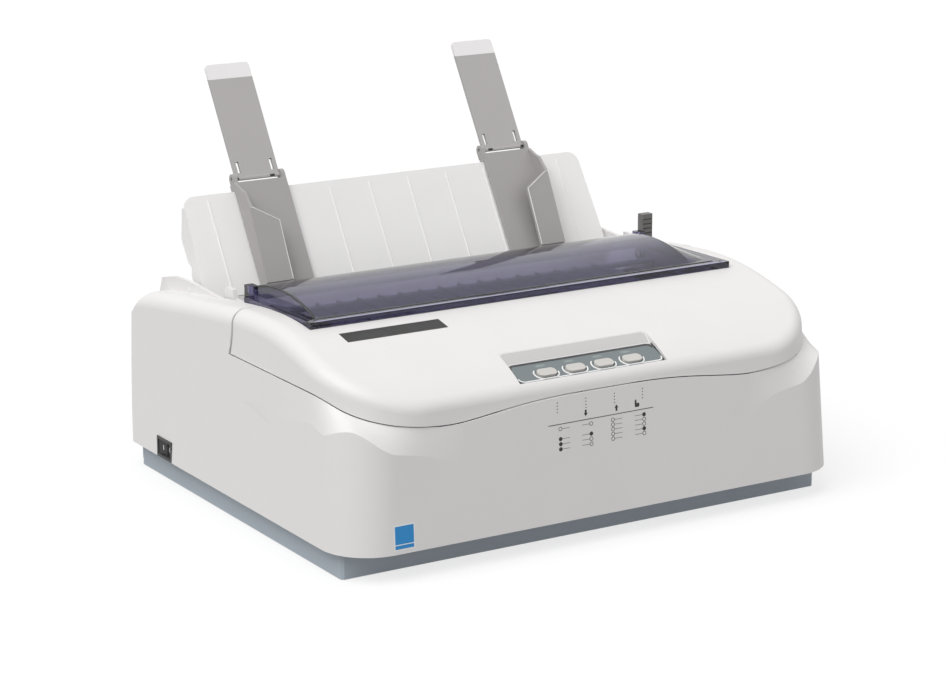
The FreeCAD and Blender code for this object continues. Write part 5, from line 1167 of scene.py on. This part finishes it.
class PRINTER_OT_switch_marks(bpy.types.Operator):
    """On and off marks of the rocker switch"""

    bl_idname = "printer.switch_marks"
    bl_label = "Switch marks"

    def execute(self, context):
        art = context.scene.printer_artwork
        low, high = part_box("power_rocker")
        middle = (low + high) / 2
        drawing = Artwork("power_rocker", (low.x, middle.y, middle.z), -BACK, UP)
        apart, bar_half, bar_width, ring, ring_width = 4.6, 1.8, 0.7, 1.9, 0.6
        drawing.line((-apart, -bar_half), (-apart, bar_half), bar_width)
        drawing.ring(apart, 0, ring, ring_width)
        drawing.piece("switch_marks", chalk_finish, "rocker_body", "black_plastic", art.ink_depth)
        return {"FINISHED"}


class PRINTER_OT_rear_details(bpy.types.Operator):
    """Inlet pins, port contacts and a bare rating plate at the back"""

    bl_idname = "printer.rear_details"
    bl_label = "Rear details"

    def execute(self, context):
        art = context.scene.printer_artwork
        self.inlet_pins()
        self.port_contacts(art)
        self.rating_plate(art)
        return {"FINISHED"}

    def inlet_pins(self):
        low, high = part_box("ac_inlet")
        inlet = Surface("ac_inlet")
        middle = (low + high) / 2
        length, below_rim, radius = 9 * MM, 2 * MM, 0.9 * MM
        for number, (x, z) in enumerate(((-5, -1.5), (0, 3.0), (5, -1.5)), start=1):
            floor = inlet.under(Vector((middle.x + x * MM, high.y + 5 * MM, middle.z + z * MM)), -BACK)
            end = Vector((floor.x, min(floor.y + length, high.y - below_rim), floor.z))
            tube(f"inlet_pin_{number}", [floor, end], radius, zinc_finish, "casing")

    def port_contacts(self, art):
        """Two rows of contacts in the data port."""
        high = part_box("rear_ports")[1]
        contacts = Artwork("rear_ports", (78 * MM, high.y, 33 * MM), -RIGHT, UP)
        count, pitch, half, width = 18, 3.0, 0.7, 1.1
        for row in (-1.4, 1.4):
            for column in range(count):
                u = (column - (count - 1) / 2) * pitch
                contacts.line((u, row - half), (u, row + half), width)
        contacts.piece("port_contacts", brass_finish, "casing", "steel", art.ink_depth * 6)

    def rating_plate(self, art):
        """A metal plate that is bare but for a frame and two lines."""
        origin = (-40 * MM, 170 * MM, 60 * MM)
        plate = Artwork("main_case", origin, -RIGHT, UP)
        plate.polygon([(-32, -14), (32, -14), (32, 14), (-32, 14)])
        plate.piece("rating_plate", zinc_finish, "casing", "steel", art.ink_depth * 4)
        lines = Artwork("main_case", origin, -RIGHT, UP)
        lines.band(
            [(-29.4, -11.4), (29.4, -11.4), (29.4, 11.4), (-29.4, 11.4)],
            [(-30, -12), (30, -12), (30, 12), (-30, 12)],
        )
        for row in (-4, 4):
            lines.line((-30, row), (30, row), 0.4)
        lines.piece("rating_plate_lines", ink_finish, "casing", "steel", art.ink_depth * 6)


class PRINTER_OT_screw_drive_shade(bpy.types.Operator):
    """Painted shade: black crosses on the heads of the case screws, standing in for the shade in their
    cross recesses
    """

    bl_idname = "printer.screw_drives"
    bl_label = "Screw drive shade"

    def execute(self, context):
        art = context.scene.printer_artwork
        low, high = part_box("case_screws")
        head_radius, arm, width = 2.6 * MM, 1.5, 0.6
        drawing = Artwork("case_screws", (0, 0, low.z), RIGHT, -BACK)
        for x in (low.x + head_radius, high.x - head_radius):
            for y in (low.y + head_radius, high.y - head_radius):
                u, v = x / MM, -y / MM
                drawing.line((u - arm, v), (u + arm, v), width)
                drawing.line((u, v - arm), (u, v + arm), width)
        drawing.piece("screw_drive_shade", black_finish, "casing", "steel", art.ink_depth)
        return {"FINISHED"}


class PRINTER_PT_dressing(bpy.types.Panel):
    """Lists the steps that dress the printer"""

    bl_idname = "PRINTER_PT_dressing"
    bl_label = "Printer dressing"
    bl_space_type = "VIEW_3D"
    bl_region_type = "UI"
    bl_category = "Printer"

    def draw(self, context):
        layout = self.layout
        for group, settings in SETTINGS.items():
            box = layout.box()
            for name in settings.__annotations__:
                box.prop(getattr(context.scene, group), name)
        for operator in OPERATORS:
            layout.operator(operator.bl_idname)


OPERATORS = (
    PRINTER_OT_stage,
    PRINTER_OT_finishes,
    PRINTER_OT_front_legend,
    PRINTER_OT_front_sticker,
    PRINTER_OT_panel_artwork,
    PRINTER_OT_tray_skirt,
    PRINTER_OT_gap_shade_line,
    PRINTER_OT_cover_trim,
    PRINTER_OT_guide_trim,
    PRINTER_OT_lever_grip,
    PRINTER_OT_switch_marks,
    PRINTER_OT_rear_details,
    PRINTER_OT_screw_drive_shade,
)
SETTINGS = {
    "printer_studio": StudioSettings,
    "printer_colours": ColourSettings,
    "printer_artwork": ArtworkSettings,
}
CLASSES = (*SETTINGS.values(), *OPERATORS, PRINTER_PT_dressing)


def register():
    for item in CLASSES:
        bpy.utils.register_class(item)
    for name, settings in SETTINGS.items():
        setattr(bpy.types.Scene, name, PointerProperty(type=settings))


def unregister():
    for name in SETTINGS:
        delattr(bpy.types.Scene, name)
    for item in reversed(CLASSES):
        bpy.utils.unregister_class(item)


def main():
    register()
    for operator in OPERATORS:
        family, name = operator.bl_idname.split(".")
        getattr(getattr(bpy.ops, family), name)()


if __name__ == "__main__":
    main()
